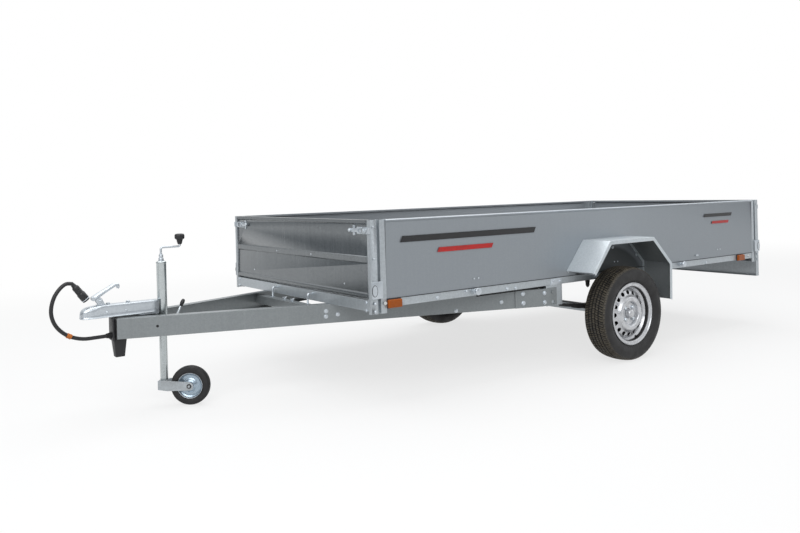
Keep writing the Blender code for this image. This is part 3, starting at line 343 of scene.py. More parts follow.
def lengthNode(tree, vector):
    # square root of x * x + y * y + z * z
    return addNode(tree, "VectorMath", {0: vector}, operation="LENGTH").outputs["Value"]


def spangleGroup():
    # zinc crystals: cells of two sizes, each with its own tone, their edges bent by a noise
    tree, into, out = newGroup("zincSpangle", {"Scale": 60.0}, ["Tone", "Height"])
    bend = addNode(tree, "TexNoise", {"Vector": into["Vector"], "Scale": 40})
    shift = addNode(tree, "VectorMath", {0: bend.outputs["Color"], 1: (0.012, 0.012, 0.012), 2: into["Vector"]},
                    operation="MULTIPLY_ADD")
    tones = []
    for factor in (1.0, 2.7):
        scale = mathNode(tree, "MULTIPLY", into["Scale"], factor)
        cells = addNode(tree, "TexVoronoi", {"Vector": shift.outputs[0], "Scale": scale})
        tones.append(addNode(tree, "SeparateColor", {0: cells.outputs["Color"]}).outputs[0])
    tone = mathNode(tree, "MULTIPLY_ADD", tones[0], 0.65, mathNode(tree, "MULTIPLY", tones[1], 0.35))
    setInput(tree, out, "Tone", tone)
    setInput(tree, out, "Height", mathNode(tree, "ADD", tone, noiseNode(tree, into["Vector"], 120, 2)))
    return tree


def streakGroup():
    # rain runs and rolling lines: noise drawn out along one way by the given scales
    tree, into, out = newGroup("runs", {"Fine": 90.0}, ["Tone", "Height"])
    tall = scaledVector(tree, into["Vector"], (1.0, 1.0, 0.035))
    tone = noiseNode(tree, tall, into["Fine"], 5, 0.62)
    broad = noiseNode(tree, into["Vector"], 3.2, 4, 0.55)
    both = mathNode(tree, "MULTIPLY_ADD", tone, 0.6, mathNode(tree, "MULTIPLY", broad, 0.4))
    setInput(tree, out, "Tone", both)
    setInput(tree, out, "Height", tone)
    return tree


def grimeGroup():
    # dust that thickens downwards below Top and breaks up in patches
    tree, into, out = newGroup("grime", {"Top": 0.5, "Amount": 0.5}, ["Mask"])
    below = mathNode(tree, "SUBTRACT", into["Top"], splitVector(tree, into["Vector"])["Z"])
    depth = rampNode(tree, below, 0.0, 0.4)
    patch = rampNode(tree, noiseNode(tree, into["Vector"], 9, 6, 0.65), 0.38, 0.72)
    speck = rampNode(tree, noiseNode(tree, into["Vector"], 120, 3), 0.58, 0.72)
    both = mathNode(tree, "MULTIPLY_ADD", speck, 0.35, mathNode(tree, "MULTIPLY", depth, patch))
    mask = mathNode(tree, "MULTIPLY", both, into["Amount"])
    setInput(tree, out, "Mask", mathNode(tree, "MINIMUM", mask, 1.0))
    return tree


def scuffGroup():
    # short bright scratches: thin bands of a stretched noise, kept where a patch noise is high
    tree, into, out = newGroup("scuffs", {"Amount": 0.5}, ["Mask"])
    masks = []
    for scale in ((4.0, 90.0, 60.0), (70.0, 80.0, 6.0)):
        line = noiseNode(tree, scaledVector(tree, into["Vector"], scale), 1.4, 2)
        off = mathNode(tree, "ABSOLUTE", mathNode(tree, "SUBTRACT", line, 0.5))
        masks.append(rampNode(tree, off, 0.012, 0.0))
    patch = rampNode(tree, noiseNode(tree, into["Vector"], 5, 3), 0.52, 0.68)
    both = mathNode(tree, "MULTIPLY", mathNode(tree, "MAXIMUM", *masks), patch)
    setInput(tree, out, "Mask", mathNode(tree, "MULTIPLY", both, into["Amount"]))
    return tree


def grainGroup():
    # moulded grain: a fine noise for the height, a slow one for the tone
    tree, into, out = newGroup("grain", {"Scale": 400.0}, ["Tone", "Height"])
    setInput(tree, out, "Height", noiseNode(tree, into["Vector"], into["Scale"], 3))
    setInput(tree, out, "Tone", noiseNode(tree, into["Vector"], 22, 4))
    return tree


groups = {"spangle": spangleGroup(), "runs": streakGroup(), "grime": grimeGroup(), "scuffs": scuffGroup(),
          "grain": grainGroup()}
materials = {}


def newMaterial(name):
    # named material with its slot; gives its tree, its shader and the coordinates in the shared frame
    material = bpy.data.materials.new(name)
    material.use_nodes = True
    tree = material.node_tree
    shader = tree.nodes["Principled BSDF"]
    coords = tree.nodes.new("ShaderNodeTexCoord").outputs["Object"]
    materials[name] = material
    return tree, shader, coords


def useGroup(tree, name, coords, **values):
    # a group's outputs, fed by the coordinates and plain values
    return addNode(tree, "Group", {"Vector": coords, **values}, node_tree=groups[name]).outputs


def blendColour(tree, factor, first, second):
    # the first colour where the factor is 0, the second where it is 1
    ends = [(*value, 1) if isinstance(value, tuple) else value for value in (first, second)]
    inputs = {"Factor": factor, "A": ends[0], "B": ends[1]}
    return addNode(tree, "Mix", inputs, data_type="RGBA").outputs["Result"]


def bumpFrom(tree, shader, height, strength, distance):
    # the normal leans by the height's slope
    node = addNode(tree, "Bump", {"Height": height, "Strength": strength, "Distance": distance})
    setInput(tree, shader, "Normal", node.outputs["Normal"])


# zinc finishes: dark and light ends of the crystal tone, then the dirt and wear on it, and on the wall and
# guard the painted shade under the guard
zincLooks = {
    "galvanised": {"slot": "galvanised_steel", "dark": (0.42, 0.455, 0.48), "light": (0.53, 0.57, 0.6),
                   "crystal": 120.0, "metal": 0.7, "rough": (0.34, 0.48), "dirtTop": 0.4, "dirt": 0.35,
                   "scuff": 0.35},
    "armZinc": {"slot": "galvanised_steel", "dark": (0.25, 0.27, 0.278), "light": (0.3, 0.322, 0.332),
                "crystal": 140.0, "metal": 0.65, "rough": (0.36, 0.5),
                "dirtTop": 0.38, "dirt": 0.15, "scuff": 0.3},
    "wallZinc": {"slot": "wall_sheet", "dark": (0.306, 0.334, 0.362), "light": (0.33, 0.359, 0.388),
                 "crystal": 170.0, "metal": 0.5, "rough": (0.34, 0.42),
                 "dirtTop": 0.56, "dirt": 0.12, "scuff": 0.1,
                 "archShade": "wall"},
    # painted shade: the gate's tones lie far below the wall sheet's, to paint the dark reflection on its face
    "gateZincPaintedShade": {"slot": "wall_sheet", "dark": (0.155, 0.168, 0.178), "light": (0.225, 0.242, 0.252),
                 "crystal": 150.0, "metal": 0.82, "rough": (0.2, 0.28),
                 "dirtTop": 0.52, "dirt": 0.1, "scuff": 0.1},
    # painted reflection: the guard's tones lie well above the galvanised sheet's, to paint the bright
    # reflection on its front flats
    "guardZincPaintedSheen": {"slot": "galvanised_steel", "dark": (0.56, 0.61, 0.645), "light": (0.68, 0.73, 0.765),
                  "crystal": 150.0, "metal": 0.45, "rough": (0.3, 0.42),
                  "dirtTop": 0.3, "dirt": 0.2, "scuff": 0.2,
                  "archShade": "guard"},
    "brightZinc": {"slot": "bright_zinc", "dark": (0.53, 0.57, 0.61), "light": (0.62, 0.665, 0.705),
                   "crystal": 110.0, "metal": 0.8, "rough": (0.28, 0.38),
                   "dirtTop": 0.42, "dirt": 0.12, "scuff": 0.15},
    "tubeZinc": {"slot": "bright_zinc", "dark": (0.47, 0.505, 0.51), "light": (0.55, 0.59, 0.6),
                 "crystal": 90.0, "metal": 0.9, "rough": (0.15, 0.22),
                 "dirtTop": 0.3, "dirt": 0.15, "scuff": 0.15},
    "blueZinc": {"slot": "bright_zinc", "dark": (0.33, 0.41, 0.48), "light": (0.41, 0.5, 0.58),
                 "crystal": 90.0, "metal": 0.75, "rough": (0.22, 0.32),
                 "dirtTop": 0.12, "dirt": 0.15, "scuff": 0.15},
}


def archShadeMask(tree, coords, place):
    # painted shade under the guard: on the wall's outer face a round patch about the hub, on the guard the
    # faces turned to the hub; a face is an outer one where its place and its normal have the same sign of Y
    middle = scaledVector(tree, coords, (1, 0, 1), (-axleX, 0, -wheelZ))
    normal = addNode(tree, "TexCoord").outputs["Normal"]
    if place == "wall":
        patch = rampNode(tree, lengthNode(tree, middle), 0.405, 0.375, 0.0, 0.85)
        away = mathNode(tree, "MULTIPLY", splitVector(tree, coords)["Y"], splitVector(tree, normal)["Y"])
        return mathNode(tree, "MULTIPLY", patch, rampNode(tree, away, 0.1, 0.4))
    turned = addNode(tree, "VectorMath", {0: middle, 1: normal}, operation="DOT_PRODUCT")
    return rampNode(tree, turned.outputs["Value"], -0.05, -0.2, 0.0, 0.8)


def zincMaterial(name, look):
    # crystal and run tones between dark and light, then scratches, dust and the painted shade under the guard
    # over them
    tree, shader, coords = newMaterial(name)
    crystal = useGroup(tree, "spangle", coords, Scale=look["crystal"])
    runs = useGroup(tree, "runs", coords)
    tone = mathNode(tree, "MULTIPLY_ADD", crystal["Tone"], 0.28,
                    mathNode(tree, "MULTIPLY", runs["Tone"], 0.72))
    tone = rampNode(tree, tone, 0.22, 0.78)
    colour = blendColour(tree, tone, look["dark"], look["light"])
    scuffs = useGroup(tree, "scuffs", coords, Amount=look["scuff"])
    colour = blendColour(tree, scuffs["Mask"], colour, tuple(1.35 * part for part in look["light"]))
    dirt = useGroup(tree, "grime", coords, Top=look["dirtTop"], Amount=look["dirt"])
    colour = blendColour(tree, dirt["Mask"], colour, (0.16, 0.15, 0.135))
    dirtAndArchShade = dirt["Mask"]
    if "archShade" in look:
        # painted shade: the wall under the guard and the guard's faces turned to the hub go near black, rough
        # and matt
        paintedArchShade = archShadeMask(tree, coords, look["archShade"])
        colour = blendColour(tree, paintedArchShade, colour, (0.05, 0.056, 0.056))
        dirtAndArchShade = mathNode(tree, "MAXIMUM", dirtAndArchShade, paintedArchShade)
    tree.links.new(colour, shader.inputs["Base Color"])
    rough = rampNode(tree, runs["Tone"], 0.25, 0.75, *look["rough"])
    rough = mathNode(tree, "MULTIPLY_ADD", dirtAndArchShade, 0.25, rough)
    tree.links.new(rough, shader.inputs["Roughness"])
    metal = mathNode(tree, "MULTIPLY", mathNode(tree, "SUBTRACT", 1.0, dirtAndArchShade), look["metal"])
    tree.links.new(metal, shader.inputs["Metallic"])
    bumpFrom(tree, shader, crystal["Height"], 0.025, 0.0002)


for lookName, lookValues in zincLooks.items():
    zincMaterial(lookName, lookValues)


def paintMaterial(name, colour, rough, metal=0.0, coat=0.0, dirt=0.4, dirtTop=0.35):
    # the colour varies with the grain's tone, then dust and light scratches lie over it
    tree, shader, coords = newMaterial(name)
    grain = useGroup(tree, "grain", coords, Scale=260.0)
    dark = tuple(0.82 * part for part in colour)
    base = blendColour(tree, rampNode(tree, grain["Tone"], 0.35, 0.65), dark, colour)
    grime = useGroup(tree, "grime", coords, Top=dirtTop, Amount=dirt)
    base = blendColour(tree, grime["Mask"], base, (0.2, 0.185, 0.16))
    scuffs = useGroup(tree, "scuffs", coords, Amount=0.25)
    base = blendColour(tree, scuffs["Mask"], base, tuple(min(1.0, 1.3 * part + 0.03) for part in colour))
    tree.links.new(base, shader.inputs["Base Color"])
    spread = rampNode(tree, grain["Tone"], 0.3, 0.7, rough - 0.06, rough + 0.08)
    tree.links.new(mathNode(tree, "MULTIPLY_ADD", grime["Mask"], 0.3, spread), shader.inputs["Roughness"])
    shader.inputs["Metallic"].default_value = metal
    shader.inputs["Coat Weight"].default_value = coat
    shader.inputs["Coat Roughness"].default_value = 0.12
    bumpFrom(tree, shader, grain["Height"], 0.1, 0.0004)


paintMaterial("wheelSilver", (0.68, 0.69, 0.715), 0.28, metal=0.55, coat=0.2, dirt=0.04)
paintMaterial("drumBlack", (0.01, 0.01, 0.011), 0.6, dirt=0.05)
paintMaterial("springBlack", (0.016, 0.016, 0.018), 0.42, dirt=0.22, dirtTop=0.5)
paintMaterial("blackPlastic", (0.016, 0.016, 0.018), 0.46, dirt=0.05)
paintMaterial("blackRubber", (0.013, 0.013, 0.014), 0.66, dirt=0.05)
paintMaterial("stripeBlack", (0.018, 0.018, 0.02), 0.35, dirt=0.1)
paintMaterial("stripeRed", (0.62, 0.018, 0.016), 0.35, dirt=0.1)
paintMaterial("orangeClip", (0.74, 0.21, 0.03), 0.45, dirt=0.1)
paintMaterial("whiteLens", (0.82, 0.83, 0.82), 0.16, coat=0.6, dirt=0.1)
paintMaterial("lampBase", (0.03, 0.03, 0.032), 0.5, dirt=0.2)


def tyreMaterial():
    # tread and sidewall rubber, with rings about the wheel's middle, dust and painted light on the raised tread
    # and painted shade in its grooves
    tree, shader, coords = newMaterial("tyreRubber")
    grain = useGroup(tree, "grain", coords, Scale=520.0)
    middle = scaledVector(tree, coords, (1, 0, 1), (-axleX, 0, -wheelZ))
    radius = lengthNode(tree, middle)
    rings = mathNode(tree, "SINE", mathNode(tree, "MULTIPLY", radius, 1900.0))
    inner, outer = (rampNode(tree, radius, *ends) for ends in ((0.192, 0.197), (0.219, 0.213)))
    onWall = mathNode(tree, "MULTIPLY", inner, outer)
    height = mathNode(tree, "MULTIPLY_ADD", mathNode(tree, "MULTIPLY", rings, onWall), 0.8, grain["Height"])
    deep = addNode(tree, "Attribute", attribute_name="deep").outputs["Fac"]
    onTread = rampNode(tree, radius, 0.258, 0.268)
    raised = mathNode(tree, "MULTIPLY", mathNode(tree, "SUBTRACT", 1.0, deep), onTread)
    # raised tread blocks: real dust, and painted light on their tops
    dustAndTopLight = mathNode(tree, "MULTIPLY", raised, rampNode(tree, grain["Tone"], 0.25, 0.65, 0.35, 1.0))
    base = blendColour(tree, grain["Tone"], (0.013, 0.013, 0.014), (0.026, 0.025, 0.025))
    base = blendColour(tree, mathNode(tree, "MULTIPLY", dustAndTopLight, 0.85), base, (0.135, 0.116, 0.084))
    # painted shade: grooves and sipes go near black by their depth
    base = blendColour(tree, mathNode(tree, "MULTIPLY", deep, onTread), base, (0.0045, 0.0045, 0.005))
    tree.links.new(base, shader.inputs["Base Color"])
    tree.links.new(rampNode(tree, grain["Tone"], 0.3, 0.7, 0.52, 0.72), shader.inputs["Roughness"])
    bumpFrom(tree, shader, height, 0.35, 0.0005)


def ripple(tree, way, often):
    # size of the sine of way * often
    return mathNode(tree, "ABSOLUTE", mathNode(tree, "SINE", mathNode(tree, "MULTIPLY", way, often)))


def plywoodMaterial():
    # brown film-faced board: a wire-mesh print in low relief, worn in patches
    tree, shader, coords = newMaterial("filmPlywood")
    split = splitVector(tree, coords)
    weave = mathNode(tree, "MULTIPLY", *(ripple(tree, split[k], 520.0) for k in ("X", "Y")))
    grain = useGroup(tree, "grain", coords, Scale=90.0)
    wear = rampNode(tree, noiseNode(tree, coords, 2.4, 6, 0.62), 0.45, 0.68)
    base = blendColour(tree, weave, (0.05, 0.03, 0.02), (0.092, 0.056, 0.038))
    base = blendColour(tree, mathNode(tree, "MULTIPLY", wear, 0.45), base, (0.15, 0.118, 0.09))
    dirt = useGroup(tree, "grime", coords, Top=0.9, Amount=0.4)
    base = blendColour(tree, dirt["Mask"], base, (0.2, 0.18, 0.15))
    tree.links.new(base, shader.inputs["Base Color"])
    tree.links.new(rampNode(tree, grain["Tone"], 0.3, 0.7, 0.42, 0.66), shader.inputs["Roughness"])
    bumpFrom(tree, shader, weave, 0.5, 0.0006)


def lensMaterial(name, colour, glow):
    # moulded lens: fine upright flutes crossed by level ones under a glossy coat
    tree, shader, coords = newMaterial(name)
    split = splitVector(tree, coords)
    flutes = ripple(tree, mathNode(tree, "ADD", split["X"], split["Y"]), 900.0)
    relief = mathNode(tree, "MULTIPLY_ADD", ripple(tree, split["Z"], 620.0), 0.5, flutes)
    deep = tuple(0.55 * part for part in colour)
    base = blendColour(tree, rampNode(tree, relief, 0.1, 1.3), deep, colour)
    dirt = useGroup(tree, "grime", coords, Top=0.6, Amount=0.15)
    base = blendColour(tree, dirt["Mask"], base, (0.3, 0.26, 0.22))
    tree.links.new(base, shader.inputs["Base Color"])
    tree.links.new(rampNode(tree, relief, 0.0, 1.5, 0.42, 0.26), shader.inputs["Roughness"])
    shader.inputs["Specular IOR Level"].default_value = 0.3
    shader.inputs["Coat Weight"].default_value = 0.1
    shader.inputs["Coat Roughness"].default_value = 0.1
    shader.inputs["Emission Color"].default_value = (*colour, 1)
    shader.inputs["Emission Strength"].default_value = glow
    bumpFrom(tree, shader, relief, 0.25, 0.0008)


def sheathMaterial():
    # cable sheath: satin black with faint rings along it and some dust
    tree, shader, coords = newMaterial("cableSheath")
    grain = useGroup(tree, "grain", coords, Scale=700.0)
    base = blendColour(tree, grain["Tone"], (0.009, 0.009, 0.01), (0.022, 0.022, 0.024))
    tree.links.new(base, shader.inputs["Base Color"])
    tree.links.new(rampNode(tree, grain["Tone"], 0.3, 0.7, 0.42, 0.58), shader.inputs["Roughness"])
    bumpFrom(tree, shader, grain["Height"], 0.15, 0.0003)


tyreMaterial()
plywoodMaterial()
lensMaterial("orangeLens", (0.46, 0.1, 0.004), 0.03)
lensMaterial("redLens", (0.5, 0.018, 0.018), 0.06)
sheathMaterial()
print("materials made")


# folded sheet nodes that keep their form: material, fold radius and nodes; a holed one's radius is small
sheetNodes = [
    ("armZinc", 0.0022, ["drawbar_arm_left", "drawbar_arm_right"]),
    ("armZinc", 0.0005, ["arm_strap_left", "arm_strap_right", "drawbar_cross_member"]),
    ("galvanised", 0.0012, ["bed_rail_left", "bed_rail_right", "front_cross_rail", "rear_cross_rail",
                            "cross_member_front", "cross_member_axle", "cross_member_rear", "rear_lamp_panel"]),
    ("galvanised", 0.0005, ["post_front_left", "post_front_right", "post_rear_left", "post_rear_right",
                            "spring_hanger_front_left", "spring_hanger_front_right", "spring_hanger_rear_left",
                            "spring_hanger_rear_right", "jockey_clamp", "jockey_fork", "axle_beam"]),
    ("guardZincPaintedSheen", 0.0012, ["mudguard_left", "mudguard_right"]),
    ("wallZinc", 0.001, ["side_panel_left", "side_panel_right"]),
    ("wallZinc", 0.0004, ["tailgate"]),
    ("gateZincPaintedShade", 0.0004, ["front_gate"]),
    ("springBlack", 0.0006, ["leaf_spring_left", "leaf_spring_right"]),
    ("blackPlastic", 0.0008, ["drawbar_end_block"]),
    ("filmPlywood", 0.0006, ["floor_board"]),
]
for sheetMaterial, foldRadius, sheetNames in sheetNodes:
    for sheetName in sheetNames:
        dressNode(sheetName, sheetMaterial, foldRadius)
print("sheet pieces dressed")


# road wheels: profiles are radius and distance out from the wheel's middle plane
tyreLook = {
    "outer": [(0.1655, 0.0568), (0.176, 0.0572), (0.184, 0.059), (0.19, 0.064), (0.205, 0.0752),
              (0.222, 0.0815), (0.236, 0.0822), (0.25, 0.0795), (0.261, 0.0735), (0.2685, 0.0665)],
    "crown": 0.27625,
    "crownDrop": 0.0058,
    "treadHalf": 0.061,
    "grooves": (0.0115, 0.0345),
    "grooveHalf": 0.0034,
    "grooveDeep": 0.0065,
    "blocks": 60,
    "slant": 1.1,
    "sipeDeep": 0.0062,
}


def tyreShape():
    # grid of blocks round the wheel and points across it; grooves and sipes lower the tread
    look = tyreLook
    wall = smoothLine(look["outer"], 3)
    edges = [0.0]
    for groove in look["grooves"]:
        edges += [groove - look["grooveHalf"] - 0.0009, groove - look["grooveHalf"],
                  groove + look["grooveHalf"], groove + look["grooveHalf"] + 0.0009]
    edges += [0.044, 0.0505, 0.056, look["treadHalf"]]
    across = np.array(edges)
    rise = look["crown"] - look["crownDrop"] * (across / look["treadHalf"]) ** 2.4
    inGroove = np.zeros(len(across))
    for groove in look["grooves"]:
        inGroove[np.abs(across - groove) <= look["grooveHalf"] + 1e-6] = 1
    inside = np.array([(0.158, 0.052), (0.158, 0.02), (0.158, 0.0)])
    right = np.vstack([inside[1:2], inside[:1], wall, np.c_[rise, across][::-1]])
    groovy = np.concatenate([np.zeros(2 + len(wall)), inGroove[::-1]])
    tread = np.concatenate([np.zeros(2 + len(wall)), np.ones(len(across))])
    profile = np.vstack([right, (right * (1, -1))[::-1][1:]])
    groovy = np.concatenate([groovy, groovy[::-1][1:]])
    tread = np.concatenate([tread, tread[::-1][1:]])
    phase = np.array([0.0, 0.04, 0.22, 0.26, 0.45, 0.52, 0.62, 0.69])
    sipe = np.array([0.0, 1.0, 1.0, 0.0, 0.0, 0.75, 0.75, 0.0])
    turns = (np.arange(look["blocks"])[:, None] + phase).ravel() / look["blocks"] * 2 * np.pi
    sipes = np.tile(sipe, look["blocks"])
    r, y = profile.T
    reach = np.clip(np.abs(y) / look["treadHalf"], 0, 1)
    lateral = np.where(reach > 0.62, 1.0, np.where(reach > 0.26, 0.85, 0.5)) * tread
    lower = np.maximum(groovy * look["grooveDeep"], lateral[:, None].T * look["sipeDeep"] * sipes[:, None])
    shoulder = np.exp(-((np.abs(y) - 0.068) / 0.006) ** 2) * (1 - tread)
    lower = lower + shoulder * 0.0022 * sipes[:, None]
    a = turns[:, None] + look["slant"] * np.abs(y) * tread
    reachOut = r - lower
    points = np.stack([reachOut * np.cos(a), reachOut * np.sin(a), y + 0 * a], -1)
    deep = np.clip(lower / 0.0045, 0, 1).ravel()
    return (points.reshape(-1, 3), gridFaces(len(turns), len(r), True, True).tolist()), deep


wheelLook = {
    "rim": [(0.1655, 0.0565), (0.179, 0.0573), (0.1815, 0.0595), (0.183, 0.063), (0.1828, 0.0655),
            (0.1812, 0.066), (0.1795, 0.064), (0.177, 0.0612), (0.164, 0.0606), (0.1612, 0.058),
            (0.1608, 0.04), (0.159, 0.035), (0.147, 0.025), (0.1442, 0.021)],
    "rimBack": [(0.1655, 0.035), (0.148, 0.02)],
    "face": [(0.027, 0.0345), (0.06, 0.034), (0.0655, 0.0375), (0.07, 0.052), (0.076, 0.0565),
             (0.086, 0.058), (0.095, 0.0568), (0.101, 0.051), (0.108, 0.042), (0.116, 0.0368),
             (0.128, 0.033), (0.138, 0.0285), (0.1445, 0.018)],
    "sheet": 0.0036,
    "vents": 16,
    "ventAt": 0.124,
    "ventRadius": 0.0122,
    "patch": (0.109, 0.1395),
    "bolts": 4,
    "boltAt": 0.0475,
    "hub": [(0, 0.0655), (0.01, 0.0652), (0.02, 0.063), (0.0245, 0.0585), (0.0265, 0.05), (0.027, 0.034),
            (0.03, 0.0338), (0.03, 0.03), (0.046, 0.028), (0.046, -0.03), (0.052, -0.04), (0.052, -0.08),
            (0.0195, -0.084), (0.0195, -0.06), (0, -0.06)],
    "drum": [(0.047, 0.01), (0.138, 0.006), (0.141, 0.003), (0.141, -0.042), (0.138, -0.045),
             (0.047, -0.045), (0.047, 0.01)],
    "valve": [(0.1535, 0, 0.034), (0.152, 0, 0.046), (0.149, 0, 0.06), (0.148, 0, 0.064)],
    "valveRadii": [0.0052] * 6 + [0.0035] * 3 + [0.0044] * 4,
    "valveTurn": {-1: -68, 1: 112},
}


def faceHeight(radius):
    # height of the disc's smoothed line at a radius
    line = smoothLine(wheelLook["face"], 6)
    return np.interp(radius, line[:, 0], line[:, 1])


def discShape():
    # turned face with a patch round each vent: rays run from the hole's circle to the patch's border
    look = wheelLook
    vents = look["vents"]
    low, high = look["patch"]
    mid = look["ventAt"]
    shapes = []
    line = smoothLine(look["face"], 4)
    inner = np.array([spot for spot in line if spot[0] < low - 0.001] + [(low, faceHeight(low))])
    outer = np.array([(high, faceHeight(high))] + [spot for spot in line if spot[0] > high + 0.001])
    steps = vents * 6
    shift = math.pi / vents
    shapes.append(latheShape(inner, steps, shift))
    shapes.append(latheShape(outer, steps, shift))
    half = math.pi / vents
    sweep = np.linspace(-half, half, 7)
    climb = np.linspace(low, high, 4)
    border = [(low, a) for a in sweep[:-1]] + [(r, half) for r in climb[:-1]]
    border += [(high, a) for a in sweep[::-1][:-1]] + [(r, -half) for r in climb[::-1][:-1]]
    border = np.array(border)
    way = np.arctan2(border[:, 1] * mid, border[:, 0] - mid)
    hole = np.c_[mid + look["ventRadius"] * np.cos(way), look["ventRadius"] * np.sin(way) / mid]
    t = np.linspace(0, 1, 5)[:, None, None] ** 1.3
    grid = hole[None] * (1 - t) + border[None] * t
    dip = np.array([0.0022, 0.0003, 0, 0, 0])[:, None]
    for vent in range(vents):
        r = grid[..., 0]
        a = grid[..., 1] + vent * 2 * half
        points = np.stack([r * np.cos(a), r * np.sin(a), faceHeight(r) - dip + 0 * r], -1)
        shapes.append((points.reshape(-1, 3), gridFaces(5, len(border), closeCols=True).tolist()))
    return joined(shapes)


def boltShape(width, high, washer=1.25, shank=0.0):
    # hexagon head with a chamfered crown on a round washer, and the shank's end above it
    six = width / math.sqrt(3)
    head = latheShape([(0, high), (six * 0.8, high), (six, high * 0.82), (six, 0.0015), (0, 0.0015)], 6)
    disc = latheShape([(0, 0.0016), (width * washer / 2, 0.0016), (width * washer / 2, 0), (0, 0)], 20)
    shapes = [head, disc]
    if shank:
        r = width * 0.28
        end = high + shank
        foot = high - 0.001
        shapes.append(latheShape([(0, end), (r * 0.8, end), (r, end - 0.001), (r, foot), (0, foot)], 14))
    return joined(shapes)


def rivetShape(radius, high):
    # flat dome
    dome = [(0, high), (radius * 0.45, high * 0.92), (radius * 0.8, high * 0.62), (radius, 0.0), (0, 0)]
    return latheShape(dome, 14)


def wheelFrame(side):
    # wheel's own Z points away from the trailer
    return standing((axleX, side * trackHalf, wheelZ), (0, side, 0))


def makeWheel(side, sideName, tyre, deep, disc):
    # every piece is turned about the wheel's own Z; the bolts stand evenly round it
    look = wheelLook
    body = "road_wheel_" + sideName
    where = wheelFrame(side)
    addPiece("tyre_tread_" + sideName, [placed(tyre, where)], "tyreRubber", body, ["tyre_" + sideName],
             angle=32, marks=deep)
    bandFront = look["rim"]
    bandBack = [(r, -h) for r, h in reversed(bandFront)]
    band = bandFront + bandBack + [(r, -h) for r, h in look["rimBack"][::-1]] + look["rimBack"][::-1]
    loop = latheShape(band + [band[0]], 96)
    hub = latheShape(look["hub"], 48)
    addPiece("wheel_rim_" + sideName, [placed(loop, where)], "wheelSilver",
             body, ["wheel_" + sideName], angle=40)
    plate = addPiece("wheel_disc_" + sideName, [placed(disc, where)], "wheelSilver",
                     body, ["wheel_" + sideName])
    if plate.data.polygons[0].normal.y * side < 0:
        plate.data.flip_normals()
    solid = plate.modifiers.new("sheet", "SOLIDIFY")
    solid.thickness = look["sheet"]
    solid.offset = -1
    addPiece("wheel_hub_" + sideName, [placed(hub, where)], "wheelSilver", body, ["wheel_" + sideName])
    drum = latheShape(look["drum"], 56)
    addPiece("wheel_drum_" + sideName, [placed(drum, where)], "drumBlack", body, angle=40)
    bolts = []
    for k in range(look["bolts"]):
        a = math.pi / 4 + 2 * math.pi * k / look["bolts"]
        spot = Matrix.Translation((look["boltAt"] * math.cos(a), look["boltAt"] * math.sin(a), 0.0338))
        bolts.append(placed(boltShape(0.019, 0.012, 1.15), where @ spot))
    addPiece("wheel_bolts_" + sideName, bolts, "brightZinc", body)
    valve = tubeShape(smoothLine(look["valve"], 4), look["valveRadii"], 12)
    lean = Matrix.Rotation(math.radians(look["valveTurn"][side]), 4, "Z")
    addPiece("wheel_valve_" + sideName, [placed(valve, where @ lean)], "blackRubber", body)


tyreGrid, tyreDeep = tyreShape()
discGrid = discShape()
for wheelSide, wheelName in bothSides:
    makeWheel(wheelSide, wheelName, tyreGrid, tyreDeep, discGrid)
print("road wheels made")


# rings of a rounded plate, and plain helpers for the pieces that follow
def padShape(width, height, corner, profile):
    # rounded rectangle drawn in by each profile point's inset, at that point's height; the last ring closes
    rings = []
    for inset, high in profile:
        outline = np.array(roundedOutline(width - 2 * inset, height - 2 * inset, max(corner - inset, 0.0004)))
        rings.append(np.c_[outline, np.full(len(outline), high)])
    count = len(rings[0])
    faces = gridFaces(len(rings), count, closeCols=True).tolist()
    faces.append(list(range(len(rings) * count - count, len(rings) * count)))
    faces.append(list(range(count - 1, -1, -1)))
    return np.vstack(rings), faces


def domedPad(width, height, depth, corner, soft):
    # flat back, straight side and a rounded front edge
    turn = np.linspace(0, np.pi / 2, 5)
    edge = [(soft * (1 - math.cos(a)), depth - soft + soft * math.sin(a)) for a in turn]
    return padShape(width, height, corner, [(0, 0)] + edge + [(soft * 2.2, depth + 0.0002)])


def bodyOf(node):
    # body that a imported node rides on
    return frame["nodes"][node]["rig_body"]


def sideways(x, y, z, side):
    # a shape's Z points away from the trailer and its X runs along it
    return Matrix.Translation((x, y, z)) @ Matrix.Rotation(-side * math.pi / 2, 4, "X")


def endways(x, y, z, end):
    # a shape's Z points out over the front or rear end and its Y runs up
    return standing((x, y, z), (end, 0, 0))


def onSide(shape, x, y, z, side):
    # y is the distance from the middle plane to the face that the shape stands on
    return placed(shape, sideways(x, side * y, z, side))


def onEnd(shape, x, y, z, end):
    # y is the shape's place across the trailer
    return placed(shape, endways(x, y, z, end))


drawbarBody = bodyOf("coupling_head")
bedBody = bodyOf("front_cross_rail")
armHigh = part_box("drawbar_arm_left")[1]
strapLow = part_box("arm_strap_left")[0]
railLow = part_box("bed_rail_left")[0]
frontX = axleX - 2.71
headLow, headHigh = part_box("coupling_head")
tubeLow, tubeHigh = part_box("jockey_tube")
jockeyX = (tubeLow.x + tubeHigh.x) / 2
beamEndX = jockeyX - 0.0262
endXOf = {-1: bedFrontX, 1: bedRearX}


